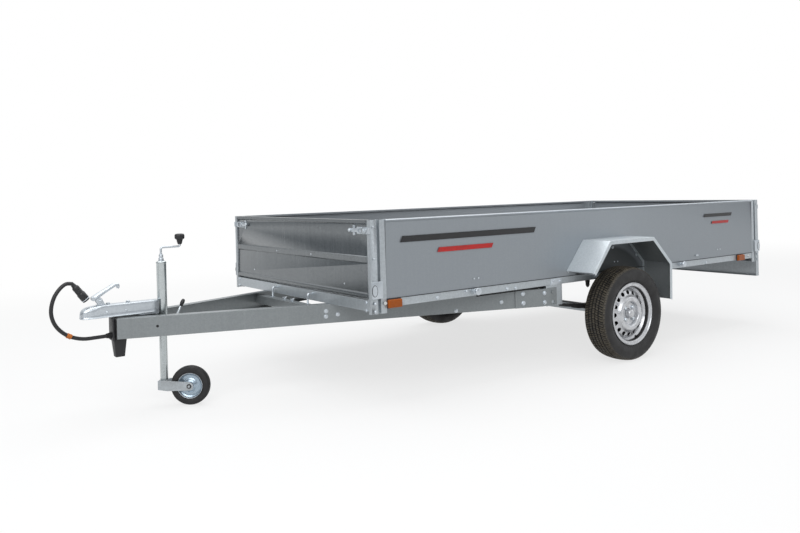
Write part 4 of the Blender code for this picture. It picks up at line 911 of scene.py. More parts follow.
# coupling: distances from the nose, shares of the sleeve's width and height, corner radii
couplingLook = {
    "stations": [(0.0004, 0.06, 0.22, 0.003), (0.002, 0.34, 0.38, 0.008), (0.006, 0.62, 0.56, 0.014),
                 (0.013, 0.84, 0.72, 0.018), (0.024, 0.97, 0.84, 0.021), (0.04, 1.05, 0.93, 0.022),
                 (0.058, 1.08, 0.97, 0.021), (0.078, 1.04, 0.99, 0.014), (0.096, 1.0, 1.0, 0.007),
                 (0.15, 1.0, 1.0, 0.006), (0.21, 1.0, 1.0, 0.006), (0.256, 1.0, 1.0, 0.006)],
    "lipEnd": 0.27,
    "half": 0.0313,
    "lip": 0.006,
    "sheet": 0.0028,
    "bolts": (0.13, 0.224),
    "lever": [(0.06, 0.033, 0.011), (0.074, 0.04, 0.0122), (0.094, 0.0515, 0.0118), (0.118, 0.065, 0.0106),
              (0.142, 0.0785, 0.01), (0.156, 0.087, 0.0098), (0.168, 0.0905, 0.0092), (0.1755, 0.0885, 0.0084),
              (0.1785, 0.082, 0.0076), (0.178, 0.076, 0.007), (0.1765, 0.0715, 0.0062)],
    "knuckle": [(0, 0.0145), (0.0085, 0.0145), (0.0105, 0.0125), (0.0108, 0.0), (0.0105, -0.0125),
                (0.0085, -0.0145), (0, -0.0145)],
    "cheek": [(0.086, 0.0002), (0.0765, 0.012), (0.072, 0.022), (0.064, 0.03), (0.066, 0.04), (0.076, 0.044),
              (0.09, 0.04), (0.102, 0.029), (0.109, 0.014), (0.1165, 0.0002)],
    "cheekY": (-0.0092, 0.0067),
    "cheekSheet": 0.0025,
    "sideRivets": (0.118, 0.206),
    "rivetRise": 0.021,
    "pivot": (0.0945, 0.02),
    "beam": {"half": 0.028, "drop": 0.0033, "sheet": 0.003, "bend": 0.005},
}


def couplingShell():
    # each station's section: lip, upright side, quarter-round bend and flat top, mirrored across the middle;
    # the pressing runs on over the channel to the jockey tube
    look = couplingLook
    stations = look["stations"] + [(beamEndX - headLow.x, 1.0, 1.0, 0.006)]
    along, wide, high, corner = smoothLine(stations, 3).T
    w = look["half"] * wide
    h = (headHigh.z - headLow.z) * high
    c = np.minimum(corner, 0.6 * np.minimum(w, h))
    lip = look["lip"] * np.clip(along / 0.006, 0.15, 1) * np.clip((look["lipEnd"] - along) / 0.01, 0.02, 1)
    rise = np.linspace(0, np.pi / 2, 6)
    ys = [w + lip, w + 0.5 * lip, w + 0.0016, w, w, w]
    zs = [0 * w, 0 * w, 0.0002 + 0 * w, 0.002 + 0 * w, 0.3 * (h - c) + 0.002, 0.8 * (h - c)]
    ys += [w - c + c * math.cos(a) for a in rise] + [0.5 * (w - c), 0 * w]
    zs += [h - c + c * math.sin(a) for a in rise] + [h, h]
    ys = np.stack(ys, 1)
    zs = np.stack(zs, 1)
    ys = np.hstack([ys, -ys[:, -2::-1]])
    zs = np.hstack([zs, zs[:, -2::-1]])
    x = headLow.x + np.broadcast_to(along[:, None], ys.shape)
    points = np.stack([x, ys, headLow.z + zs], -1)
    return points.reshape(-1, 3), gridFaces(*ys.shape).tolist()


def leverShape():
    # round bar along the lever's line, a little wider than it is tall, hooked down at its tip
    x, z, radius = smoothLine(couplingLook["lever"], 5).T
    points, faces = tubeShape(np.c_[headLow.x + x, 0 * x, headHigh.z + z], radius, 22)
    return points * (1, 1.3, 1), faces


def channelShape(x0, x1):
    # section of the inverted channel, outside and inside, with round bends, carried along X
    look = couplingLook["beam"]
    half, sheet, bend = look["half"], look["sheet"], look["bend"]
    top = headHigh.z - look["drop"]
    foot = armHigh.z + 0.0003
    outside = []
    inside = []
    for k in np.linspace(0, np.pi / 2, 6):
        outside.append((half - bend + bend * math.cos(k), top - bend + bend * math.sin(k)))
        inside.append((half - bend + (bend - sheet) * math.cos(k), top - bend + (bend - sheet) * math.sin(k)))
    right = [(half, foot)] + outside
    under = [(half - sheet, foot)] + inside
    loop = right + [(-y, z) for y, z in right[::-1]] + [(-y, z) for y, z in under] + under[::-1]
    rings = np.array([[(x, y, z) for y, z in loop] for x in (x0, x1)])
    faces = gridFaces(2, len(loop), closeCols=True).tolist()
    n = len(right)
    ends = []
    for first in (0, len(loop)):
        for k in range(2 * n - 1):
            ends.append([first + k, first + k + 1, first + 4 * n - 2 - k, first + 4 * n - 1 - k])
    return rings.reshape(-1, 3), faces + ends


def makeCoupling():
    # places along the coupling are distances from its nose
    look = couplingLook
    top = headHigh.z
    noseX = headLow.x
    shell = addPiece("coupling_shell", [couplingShell()], "brightZinc", drawbarBody,
                     ["coupling_head"], angle=50)
    turnOut(shell, (noseX + 0.1, 0, headLow.z))
    thicken(shell, look["sheet"])
    addPiece("coupling_lever", [leverShape()], "brightZinc", drawbarBody, ["coupling_handle"], angle=50)
    addPiece("coupling_beam", [channelShape(noseX + look["lipEnd"], beamEndX)], "brightZinc", drawbarBody,
             ["coupling_channel"], angle=50)
    lying = Matrix.Translation((noseX + 0.063, 0, top + 0.033)) @ Matrix.Rotation(math.pi / 2, 4, "X")
    knuckle = placed(latheShape(look["knuckle"], 28), lying)
    stand = Matrix(((1, 0, 0, noseX), (0, 0, 1, 0), (0, 1, 0, top), (0, 0, 0, 1)))
    cheeks = [placed(plateShape(look["cheek"], y, y + look["cheekSheet"]), stand) for y in look["cheekY"]]
    foot = placed(padShape(0.052, 0.026, 0.004, [(0, 0), (0, 0.0022), (0.0008, 0.0028)]),
                  Matrix.Translation((noseX + 0.101, 0, top)))
    addPiece("coupling_stem", [knuckle, foot] + cheeks, "brightZinc", drawbarBody, edge=0.0005)
    pins = [placed(boltShape(0.017, 0.0085, 1.35), Matrix.Translation((noseX + spot, 0, top)))
            for spot in look["bolts"]]
    for side in (-1, 1):
        for x in look["sideRivets"]:
            pins.append(onSide(rivetShape(0.0062, 0.003), noseX + x, look["half"] - 0.0002,
                               headLow.z + look["rivetRise"], side))
    x, z = look["pivot"]
    pins.append(onSide(boltShape(0.013, 0.006, 1.2), noseX + x, 0.0092, top + z, -1))
    addPiece("coupling_bolts", pins, "brightZinc", drawbarBody, edge=0.0004)


def turnOut(piece, middle):
    # an open sheet's faces look away from the given place
    mesh = piece.data
    away = sum((face.center - Vector(middle)).dot(face.normal) * face.area for face in mesh.polygons)
    if away < 0:
        mesh.flip_normals()


def thicken(piece, sheet):
    # the thickness lies on the inner side of the open sheet
    solid = piece.modifiers.new("sheet", "SOLIDIFY")
    solid.thickness = sheet
    solid.offset = -1
    solid.use_even_offset = False


makeCoupling()
print("coupling made")


# jockey wheel: radii and heights of its turned pieces
jockeyBody = bodyOf("jockey_leg")
jockeyWheelBody = bodyOf("jockey_tyre")
jockeySpin = joints["jockey_wheel_spin"]
jockeyLook = {
    "tube": [(0, 0.0004), (0.016, 0.0004), (0.0205, -0.0012), (0.0246, -0.005), (0.025, -0.0075),
             (0.025, -0.011), (0.0243, -0.0128), (0.024, -0.015), (0.024, -0.318), (0.0232, -0.3325),
             (0.0197, -0.3328), (0.0197, -0.32)],
    "knob": [(0, 0.054), (0.012, 0.0538), (0.019, 0.0526), (0.023, 0.05), (0.0248, 0.046), (0.025, 0.042),
             (0.025, 0.034), (0.024, 0.0295), (0.0205, 0.0265), (0.0165, 0.0245), (0.0148, 0.02),
             (0.013, 0.012), (0.011, 0.004), (0.009, 0.0006), (0, 0.0004)],
    "tyre": [(0.0643, 0.015), (0.0643, 0.0195), (0.068, 0.0225), (0.076, 0.024), (0.085, 0.0238),
             (0.0905, 0.0215), (0.0945, 0.0165), (0.0962, 0.011), (0.0968, 0.006), (0.0958, 0.0052),
             (0.0958, 0.0036), (0.0969, 0.0028), (0.097, 0.0)],
    "rim": [(0.06, 0.015), (0.0575, 0.0118), (0.05, 0.0088), (0.04, 0.0082), (0.033, 0.01),
            (0.0285, 0.0145), (0.024, 0.0182), (0.015, 0.019), (0.0075, 0.019)],
    "ring": [(0.0635, 0.012), (0.0637, 0.019), (0.0625, 0.0206), (0.0605, 0.02), (0.0592, 0.0165),
             (0.0592, 0.012), (0.0635, 0.012)],
    "nut": [(0, 0.04), (0.0045, 0.04), (0.0062, 0.0385), (0.0066, 0.033), (0.0095, 0.0318), (0.0104, 0.0295),
            (0.0104, 0.018), (0.0095, 0.0165), (0.009, 0.015), (0.0118, 0.0142), (0.0126, 0.0125),
            (0.0126, 0.003), (0.015, 0.0022), (0.0152, 0.0004), (0, 0.0004)],
    "crankRadius": 0.0052,
    "crankBend": 0.01,
    "fluteDeep": 0.0011,
    "flutes": 10,
    "grip": [(0, 0.055), (0.0036, 0.0546), (0.007, 0.052), (0.0096, 0.046), (0.0104, 0.039), (0.01, 0.031),
             (0.0082, 0.022), (0.0066, 0.017), (0.0058, 0.016), (0, 0.016)],
    "gripStub": [(0, 0.02), (0.0042, 0.02), (0.0042, 0.005), (0.0058, 0.0015), (0.0058, 0.0003), (0, 0.0003)],
    "gripBend": (0.072, -0.024),
    "gripEnd": (0.086, 0.004),
    "forkHalf": 0.0333,
}


def makeJockey():
    # the crank is an upright rod, a quarter-circle bend and an arm that rises to the knob's middle
    look = jockeyLook
    top = tubeHigh.z
    upright = Matrix.Translation((jockeyX, 0, top))
    tube = latheShape(look["tube"], 56)
    addPiece("jockey_outer_tube", [placed(tube, upright)], "tubeZinc", drawbarBody, ["jockey_tube"])
    nut = latheShape(look["nut"], 32)
    knobLow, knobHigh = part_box("jockey_knob")
    rise = knobLow.z - top - 0.01
    bend = look["crankBend"]
    reach = (knobLow.x + knobHigh.x) / 2 - jockeyX
    turns = np.linspace(0.15, math.pi / 2, 6)
    path = [(0, 0, 0.03), (0, 0, rise - bend - 0.003)]
    path += [(bend - bend * math.cos(a), 0, rise - bend + bend * math.sin(a)) for a in turns]
    path += [(0.03, 0, rise), (0.06, 0, rise), (reach - 0.012, 0, rise), (reach - 0.006, 0, rise + 0.0009),
             (reach - 0.0016, 0, rise + 0.0035), (reach, 0, rise + 0.0075), (reach, 0, rise + bend)]
    crank = tubeShape(smoothLine(path, 3), look["crankRadius"], 18)
    addPiece("jockey_crank_rod", [placed(nut, upright), placed(crank, upright)], "brightZinc", drawbarBody,
             ["jockey_crank"])
    points, faces = latheShape(look["knob"], 60)
    way = np.arctan2(points[:, 1], points[:, 0])
    size = np.hypot(points[:, 0], points[:, 1])
    dent = np.where(size > 0.0225, look["fluteDeep"] * (0.5 - 0.5 * np.cos(look["flutes"] * way)), 0)
    points = points * (1 - dent / np.maximum(size, 0.001))[:, None] ** np.array([1, 1, 0])
    knob = placed((points, faces), Matrix.Translation((jockeyX + reach, 0, knobLow.z)))
    addPiece("jockey_knob_grip", [knob], "blackPlastic", drawbarBody, ["jockey_knob"])
    legLow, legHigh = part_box("jockey_leg")
    leg = latheShape([(0, legHigh.z), (0.019, legHigh.z), (0.019, legLow.z + 0.01), (0.0198, legLow.z + 0.006),
                      (0.0206, legLow.z + 0.0012), (0.019, legLow.z), (0, legLow.z)], 44)
    addPiece("jockey_inner_leg", [placed(leg, Matrix.Translation((jockeyX, 0, 0)))], "tubeZinc", jockeyBody,
             ["jockey_leg"])
    spot = Vector(jockeySpin["pos_m"])
    hub = standing(spot, jockeySpin["axis"])
    right = look["tyre"]
    tyre = right + [(r, -h) for r, h in reversed(right[:-1])]
    # the tyre's radius is never more than the height of its axle, so it ends on the floor
    line = np.minimum(smoothLine(tyre + [tyre[0]], 2), (spot.z, 1))
    addPiece("jockey_wheel_tyre", [placed(latheShape(line, 64), hub)], "blackRubber",
             jockeyWheelBody, ["jockey_tyre"], angle=40)
    face = look["rim"]
    rim = face + [(0.0075, -0.019)] + [(r, -h) for r, h in reversed(face[:-1])]
    addPiece("jockey_wheel_disc", [placed(latheShape(rim + [rim[0]], 64), hub)], "blueZinc", jockeyWheelBody,
             ["jockey_rim"], angle=40)
    for side, label in ((-1, "inner"), (1, "outer")):
        ring = latheShape([(r, side * h) for r, h in look["ring"]], 64)
        addPiece("jockey_rim_ring_" + label, [placed(ring, hub)], "brightZinc", jockeyWheelBody, ["jockey_rim"],
                 angle=40)
    ends = []
    for turn in (math.pi, 0):
        lift = hub @ (Matrix.Rotation(turn, 4, "X") @ Matrix.Translation((0, 0, look["forkHalf"])))
        ends.append(placed(boltShape(0.017, 0.0055, 1.4), lift))
    addPiece("jockey_axle_bolt", ends, "springBlack", bodyOf("jockey_fork"), edge=0.0004)
    spots = (look["gripBend"], look["gripEnd"])
    bendSpot, endSpot = (Vector((jockeyX + x, 0, armHigh.z + z)) for x, z in spots)
    gripStand = standing(endSpot, endSpot - bendSpot)
    addPiece("clamp_grip_stem", [placed(latheShape(look["gripStub"], 20), gripStand)], "brightZinc",
             drawbarBody, ["clamp_grip"])
    addPiece("clamp_grip_sleeve", [placed(latheShape(look["grip"], 28), gripStand)], "blackPlastic",
             drawbarBody, ["clamp_grip"])


makeJockey()
print("jockey wheel made")


# cable: the route's points ahead of the axle and above the ground, as in the part's source
cableLook = {
    "capAhead": 2.722,
    "startZ": 0.38,
    "radius": 0.009,
    "route": [(2.79, 0.3785), (2.85, 0.38), (2.905, 0.3975), (2.946, 0.428), (2.973, 0.466),
              (2.985, 0.511), (2.981, 0.555), (2.966, 0.595), (2.942, 0.627), (2.917, 0.644)],
    "plugAhead": 2.888,
    "plugZ": 0.638,
    "plugTilt": math.radians(143.3),
    "length": 0.52,
    "clipAt": 0.37,
    "knots": ((-0.5, 0, 0.85), (0.6, 0, -0.8)),
    "plugRing": [(0.0192, 0.088), (0.0198, 0.0886), (0.0198, 0.0912), (0.0192, 0.0918), (0.0176, 0.0916),
                 (0.0176, 0.0882), (0.0192, 0.088)],
    "boot": [(0.0128, 0.0002), (0.0158, 0.0006), (0.016, 0.004), (0.0135, 0.0052), (0.014, 0.01),
             (0.0122, 0.0112), (0.0128, 0.016), (0.011, 0.0172), (0.0117, 0.0215), (0.0102, 0.023),
             (0.0096, 0.025), (0.009, 0.0252)],
    "ribs": ((0.018, 0.03), (0.057, 0.085)),
    "ribDeep": 0.045,
    "ribCount": 20,
}


def makeCable():
    # smooth line through the route, from the block's hole to the plug's foot; the plug is turned there
    look = cableLook
    start = np.array((axleX - look["capAhead"], 0, look["startZ"]))
    end = np.array((axleX - look["plugAhead"], 0, look["plugZ"]))
    down = np.array((math.sin(look["plugTilt"]), 0, math.cos(look["plugTilt"])))
    middle = [np.array((axleX - ahead, 0, z)) for ahead, z in look["route"]]
    points = [start + (-0.006, 0, 0)] + middle + [end - 0.006 * down]
    path = np.vstack([start, smoothLine(points, 4), end])
    sheath = addPiece("cable_sheath", [tubeShape(path, look["radius"], 24)], "cableSheath",
                      drawbarBody, ["cable"])
    # plug: boot, grip with flutes, collar and the open end, seen from its foot at the cable
    r = look["radius"]
    turned = [(0, 0.0003), (r + 0.001, 0.0003), (r + 0.0018, 0.003), (r + 0.0012, 0.0045), (r + 0.0022, 0.0075),
              (r + 0.0016, 0.009), (r + 0.003, 0.0125), (0.015, 0.0155), (0.0162, 0.02), (0.0165, 0.03),
              (0.0156, 0.0312), (0.0156, 0.0335), (0.0165, 0.035), (0.0165, 0.052), (0.0178, 0.0545),
              (0.019, 0.0565), (0.019, 0.085), (0.0184, 0.0868), (0.0175, 0.087), (0.0175, 0.0984),
              (0.0168, 0.0986), (0.0152, 0.0984), (0.015, 0.0845), (0, 0.084)]
    stand = standing(end, down)
    spots, faces = latheShape(turned, 60)
    way = np.arctan2(spots[:, 1], spots[:, 0])
    ribbed = sum((spots[:, 2] > low) & (spots[:, 2] < high) for low, high in look["ribs"]) > 0
    rib = 1 + look["ribDeep"] * (np.cos(look["ribCount"] * way) - 1) / 2
    spots = spots * np.where(ribbed, rib, 1)[:, None] ** np.array([1, 1, 0])
    grip = addPiece("plug_grip", [placed((spots, faces), stand)], "blackPlastic", drawbarBody, ["plug"])
    ring = latheShape(look["plugRing"], 48)
    band = addPiece("plug_ring", [placed(ring, stand)], "brightZinc", drawbarBody)
    tabs = []
    for side in (-1, 1):
        tab = padShape(0.015, 0.008, 0.002, [(0, 0), (0, 0.0026), (0.0006, 0.0032)])
        lift = stand @ Matrix.Rotation(math.pi / 2, 4, "Y")
        lift = lift @ Matrix.Translation((-0.04, 0, side * 0.018 - 0.0016))
        turnTab = Matrix.Rotation(math.pi / 2, 4, "Z")
        tabs.append(placed(placed(tab, turnTab @ Matrix.Rotation(0.5 * side, 4, "Y")), lift))
    ears = addPiece("plug_ears", tabs, "blackPlastic", drawbarBody)
    lengths = np.concatenate([[0], np.cumsum(np.linalg.norm(np.diff(path, axis=0), axis=1))])
    at = look["clipAt"] * lengths[-1]
    spot = np.array([np.interp(at, lengths, path[:, k]) for k in range(3)])
    ahead = np.array([np.interp(at + 0.004, lengths, path[:, k]) for k in range(3)]) - spot
    loop = latheShape([(r + 0.0004, -0.011), (r + 0.0022, -0.011), (r + 0.0034, -0.008), (r + 0.0026, 0.0),
                       (r + 0.0034, 0.008), (r + 0.0022, 0.011), (r + 0.0004, 0.011), (r + 0.0004, -0.011)], 36)
    knots = [placed(latheShape([(0, 0.0065), (0.0026, 0.0058), (0.004, 0.003), (0.003, 0), (0, 0)], 14),
                    standing(spot + np.array(out) * (r + 0.0015), out)) for out in look["knots"]]
    clip = addPiece("cable_clip", [placed(loop, standing(spot, ahead))] + knots, "orangeClip", drawbarBody)
    boot = latheShape(look["boot"], 36)
    addPiece("cable_strain_relief", [placed(boot, standing(start, (-1, 0, 0)))], "blackRubber", drawbarBody)


makeCable()
print("cable made")


# fasteners on the drawbar: places ahead of the axle and heights above the ground
drawbarLook = {
    "frontHalf": 0.059,
    "slope": 0.33498,
    "armBolts": [(-1.754, 0.428), (-1.755, 0.401), (-1.696, 0.408), (-1.077, 0.379), (-0.822, 0.408)],
    "strapAngled": [(-0.7, 0.445), (-0.698, 0.393)],
    "strapFlat": [(-0.57, 0.44), (-0.569, 0.388)],
    "webHole": (-2.536, 0.416),
    "wingNuts": (-0.035, 0.055),
    "wing": [(0.004, 0.0), (0.01, 0.003), (0.0175, 0.012), (0.0165, 0.0165), (0.012, 0.0165), (0.006, 0.01),
             (0.004, 0.009)],
    "washer": [(0.0062, 0.0), (0.0062, 0.0025), (0.015, 0.0025), (0.015, 0.0), (0.0062, 0.0)],
    "nut": [(0.0062, 0.0025), (0.0062, 0.0115), (0.0088, 0.0115), (0.0098, 0.0105), (0.0098, 0.0026),
            (0.0062, 0.0025)],
    "rod": 0.0055,
    "threadRoot": 0.0048,
    "pitch": 0.0009,
    "rodBend": 0.012,
}


def armFace(x):
    # outer face of the arm's web: half width at the front plus the slope of its line
    return drawbarLook["frontHalf"] + (x - frontX) * drawbarLook["slope"]


def armOut(side):
    # direction square to the arm's face: one unit outwards and the slope's share of it forwards
    return Vector((-drawbarLook["slope"], side, 0)).normalized()


def makeDrawbarBolts():
    # bolts stand square on the face under them, nuts upright on the cross member
    look = drawbarLook
    bolts = []
    for side, _ in bothSides:
        out = armOut(side)
        for x, z in look["armBolts"]:
            spot = (axleX + x, side * armFace(axleX + x), z)
            bolts.append(placed(boltShape(0.016, 0.006, 1.4), standing(spot, out)))
        for x, z in look["strapAngled"]:
            spot = (axleX + x, side * (armFace(axleX + x) + 0.0043), z)
            bolts.append(placed(boltShape(0.019, 0.008, 1.35), standing(spot, out)))
        for x, z in look["strapFlat"]:
            bolts.append(onSide(boltShape(0.019, 0.008, 1.35), axleX + x, -strapLow.y - 0.006, z, side))
    addPiece("drawbar_bolts", bolts, "brightZinc", drawbarBody, edge=0.0004)
    memberLow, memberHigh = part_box("drawbar_cross_member")
    small = []
    for y in look["wingNuts"]:
        foot = Matrix.Translation((memberLow.x + 0.03, y, memberHigh.z))
        small.append(placed(boltShape(0.013, 0.007, 1.7, 0.008), foot))
        for turn in (0.4, 0.4 + math.pi):
            flat = Matrix.Rotation(turn, 4, "Z") @ Matrix.Rotation(math.pi / 2, 4, "X")
            small.append(placed(plateShape(look["wing"], -0.0012, 0.0012), foot @ flat))
    for _, name in bothSides:
        x, y, _ = hookSpot(name)
        under = Matrix.Translation((x, y, memberHigh.z - 0.0042)) @ Matrix.Rotation(math.pi, 4, "X")
        small.append(placed(latheShape(look["washer"], 28), under))
        small.append(placed(latheShape(look["nut"], 6), under))
        small.append(placed(latheShape(look["washer"], 28),
                            Matrix.Translation((x, y, memberHigh.z + 0.0002))))
    addPiece("cross_member_nuts", small, "brightZinc", drawbarBody, edge=0.0003)
    # painted shade: a thin black disc on each arm's web stands for the dark hole through it
    x, z = look["webHole"]
    hole = latheShape([(0, 0.0006), (0.0062, 0.0006), (0.0068, 0.0), (0, 0.0)], 24)
    rings = [placed(hole, standing((axleX + x, side * armFace(axleX + x), z), armOut(side)))
             for side in (-1, 1)]
    addPiece("arm_web_hole_shade", rings, "blackRubber", drawbarBody)


def hookSpot(name):
    # middle of the hook bolt's upright rod, and its top
    low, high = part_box("hook_bolt_" + name)
    return low.x + drawbarLook["rod"], (low.y + high.y) / 2, high.z


def makeHookBolts():
    # rod whose radius goes up and down by the thread's pitch along its straight foot, smooth round the bend
    rod, bend = drawbarLook["rod"], drawbarLook["rodBend"]
    for _, name in bothSides:
        x, y, high = hookSpot(name)
        top = high - rod
        thread = np.arange(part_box("hook_bolt_" + name)[0].z, top - 0.03, drawbarLook["pitch"])
        radius = np.where(np.arange(len(thread)) % 2, rod, drawbarLook["threadRoot"])
        rest = [(x, y, top - 0.026)]
        for a in np.linspace(math.pi, math.pi / 2, 9):
            rest.append((x + bend + bend * math.cos(a), y, top - bend + bend * math.sin(a)))
        rest.append((bedFrontX - 0.0003, y, top))
        path = np.vstack([np.c_[np.full(len(thread), x), np.full(len(thread), y), thread], rest])
        radii = np.concatenate([radius, np.full(len(rest), rod)])
        addPiece("hook_bolt_rod_" + name, [tubeShape(path, radii, 16)], "brightZinc",
                 bodyOf("hook_bolt_" + name), ["hook_bolt_" + name], angle=60)


makeDrawbarBolts()
makeHookBolts()
print("drawbar fasteners made")


# box: places ahead of the axle, heights above the ground
boxLook = {
    "knobs": [(-1.078, 0.501), (0.733, 0.503), (-0.12, 0.499)],
    "buffer": (-1.141, 0.507),
    "rivets": [(-1.089, 0.567), (-1.058, 0.567), (0.045, 0.569), (0.076, 0.569),
               (1.153, 0.571), (1.184, 0.571)],
    "railBolts": [(-1.331, 0.492), (-0.848, 0.491), (-0.784, 0.487), (0.42, 0.49), (1.02, 0.49)],
    "clip": (0.906, 0.548),
    "ribRivets": [(0.198, 0.7095), (0.519, 0.579), (-0.198, 0.7095), (-0.519, 0.579)],
    "frontBolts": [(0.725, 0.505), (0.725, 0.468)],
    "stripeBlack": (-1.56, -0.64, 0.785, 0.815),
    "stripeRed": (-1.33, -0.96, 0.722, 0.746),
    "tailBlack": (1.0, 1.33, 0.8, 0.822),
    "tailRed": (1.09, 1.29, 0.752, 0.77),
    "knob": [(0, 0.033), (0.011, 0.0328), (0.0175, 0.0308), (0.02, 0.0265), (0.019, 0.0215), (0.014, 0.018),
             (0.011, 0.011), (0.012, 0.0055), (0.0165, 0.0035), (0.0168, 0.0), (0, 0.0)],
    "bufferShape": [(0, 0.0075), (0.005, 0.0072), (0.0064, 0.0055), (0.0066, 0.0), (0, 0.0)],
    "clipSize": (0.03, 0.01, 0.0032, 0.002, 0.001),
    "bracket": (-0.466, 0.4955),
    "bracketSize": (0.09, 0.036, 0.0022, 0.004, 0.0008),
    "bracketBolts": [(-0.5, 0.489), (-0.486, 0.503), (-0.436, 0.496)],
    "footShadowOut": 0.0003,
    "footShadowRise": (0.0392, 0.0422),
    "lipOut": 0.0006,
    "lipDrop": 0.0036,
    "lipRadius": 0.0034,
    "gapShadeX": (-1.05, -0.53),
    "gapShadeY": 0.748,
    "gapShadeDrop": 0.0068,
    "gapShadeRadii": (0.0062, 0.0056),
    "gapShadeRings": 60,
}


def makeSideTrim():
    # each piece is made for one side and again for the other, with the sign of its Y turned
    look = boxLook
    railY = -railLow.y
    for side, name in bothSides:
        knobs = [onSide(latheShape(look["knob"], 26), axleX + x, railY, z, side) for x, z in look["knobs"]]
        addPiece("rope_knobs_" + name, knobs, "brightZinc", bedBody)
        wallX0, wallX1 = (corner.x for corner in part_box("side_panel_" + name))
        # painted shadow: a thin black strip along the wall's foot, for the shadow line under the panel's lip
        y0, y1 = sorted((side * halfWidth, side * (halfWidth + look["footShadowOut"])))
        z0, z1 = look["footShadowRise"]
        footShadowStrip = blockShape((wallX0, y0, railLow.z + z0), (wallX1, y1, railLow.z + z1))
        addPiece("wall_foot_shadow_line_" + name, [footShadowStrip], "blackRubber", bedBody)
        # painted highlight: a round bead in the lighter bright zinc on the wall's top lip shows the lip's
        # highlight
        lip = [(x, side * (halfWidth + look["lipOut"]), boxTopZ - look["lipDrop"])
               for x in np.linspace(wallX0, wallX1, 40)]
        addPiece("wall_lip_highlight_bead_" + name, [tubeShape(lip, look["lipRadius"], 12)], "brightZinc", bedBody)
        # painted shade: a dark ribbed tube under the rail's edge fills the gap beneath the bed with shade
        count = look["gapShadeRings"]
        first, last = look["gapShadeX"]
        gapShadeX = np.linspace(axleX + first, axleX + last, count)
        path = np.c_[gapShadeX, np.full(count, side * look["gapShadeY"]),
                     np.full(count, railLow.z - look["gapShadeDrop"])]
        gapShadeTube = tubeShape(path, np.where(np.arange(count) % 2, *look["gapShadeRadii"]), 14)
        addPiece("gap_shade_tube_" + name, [gapShadeTube], "blackRubber", bedBody)
        onRail = [(latheShape(look["bufferShape"], 20), *look["buffer"])]
        onRail += [(boltShape(0.015, 0.0055, 1.3), *spot) for spot in look["railBolts"]]
        bolts = [onSide(shape, axleX + x, railY, z, side) for shape, x, z in onRail]
        onWall = [(rivetShape(0.0052, 0.0024), *spot) for spot in look["rivets"]]
        onWall.append((domedPad(*look["clipSize"]), *look["clip"]))
        bolts += [onSide(shape, axleX + x, halfWidth, z, side) for shape, x, z in onWall]
        x, z = look["bracket"]
        bolts.append(onSide(domedPad(*look["bracketSize"]), axleX + x, railY, z, side))
        for x, z in look["bracketBolts"]:
            bolts.append(onSide(boltShape(0.011, 0.004, 1.3),
                                axleX + x, railY + look["bracketSize"][2], z, side))
        addPiece("rail_bolts_" + name, bolts, "brightZinc", bedBody, edge=0.0003)
        for label, material in (("stripeBlack", "stripeBlack"), ("stripeRed", "stripeRed"),
                                ("tailBlack", "stripeBlack"), ("tailRed", "stripeRed")):
            x0, x1, z0, z1 = look[label]
            slant = 0.5 * (z1 - z0)
            outline = [(x0, z0 - z1), (x1, z0 - z1), (x1 + slant, 0), (x0 + slant, 0)]
            foil = plateShape(outline, -0.0002, 0.0003)
            turn = Matrix(((1, 0, 0, axleX), (0, 0, side, side * halfWidth), (0, 1, 0, z1), (0, 0, 0, 1)))
            addPiece(label + "_" + name, [placed(foil, turn)], material, bedBody)


# clasps on the posts: distances in from the end and heights above the ground; plates as width, height, depth,
# corner and edge
claspLook = {
    "lift": 0.004,
    "oval": (0.0145, 0.563),
    "ovals": [(0.0138, 0.0252, 0.0026, 0.0042), (0.0165, 0.028, 0.0025, 0.0032)],
    "cover": (0.031, 0.566),
    "coverSize": (0.058, 0.078, 0.0024, 0.005, 0.0008),
    "bead": (0.06, 0.08, 0.005),
    "beadRadius": 0.0016,
    "rivets": [(0.044, 0.592), (0.044, 0.542)],
    "bolts": [(0.02, 0.503), (0.02, 0.465)],
    "seamZ": (0.868, 0.716),
    "seamIn": 0.019,
    "returnIn": 0.0465,
    "returnY": 0.0205,
    "rearDrop": 0.002,
}


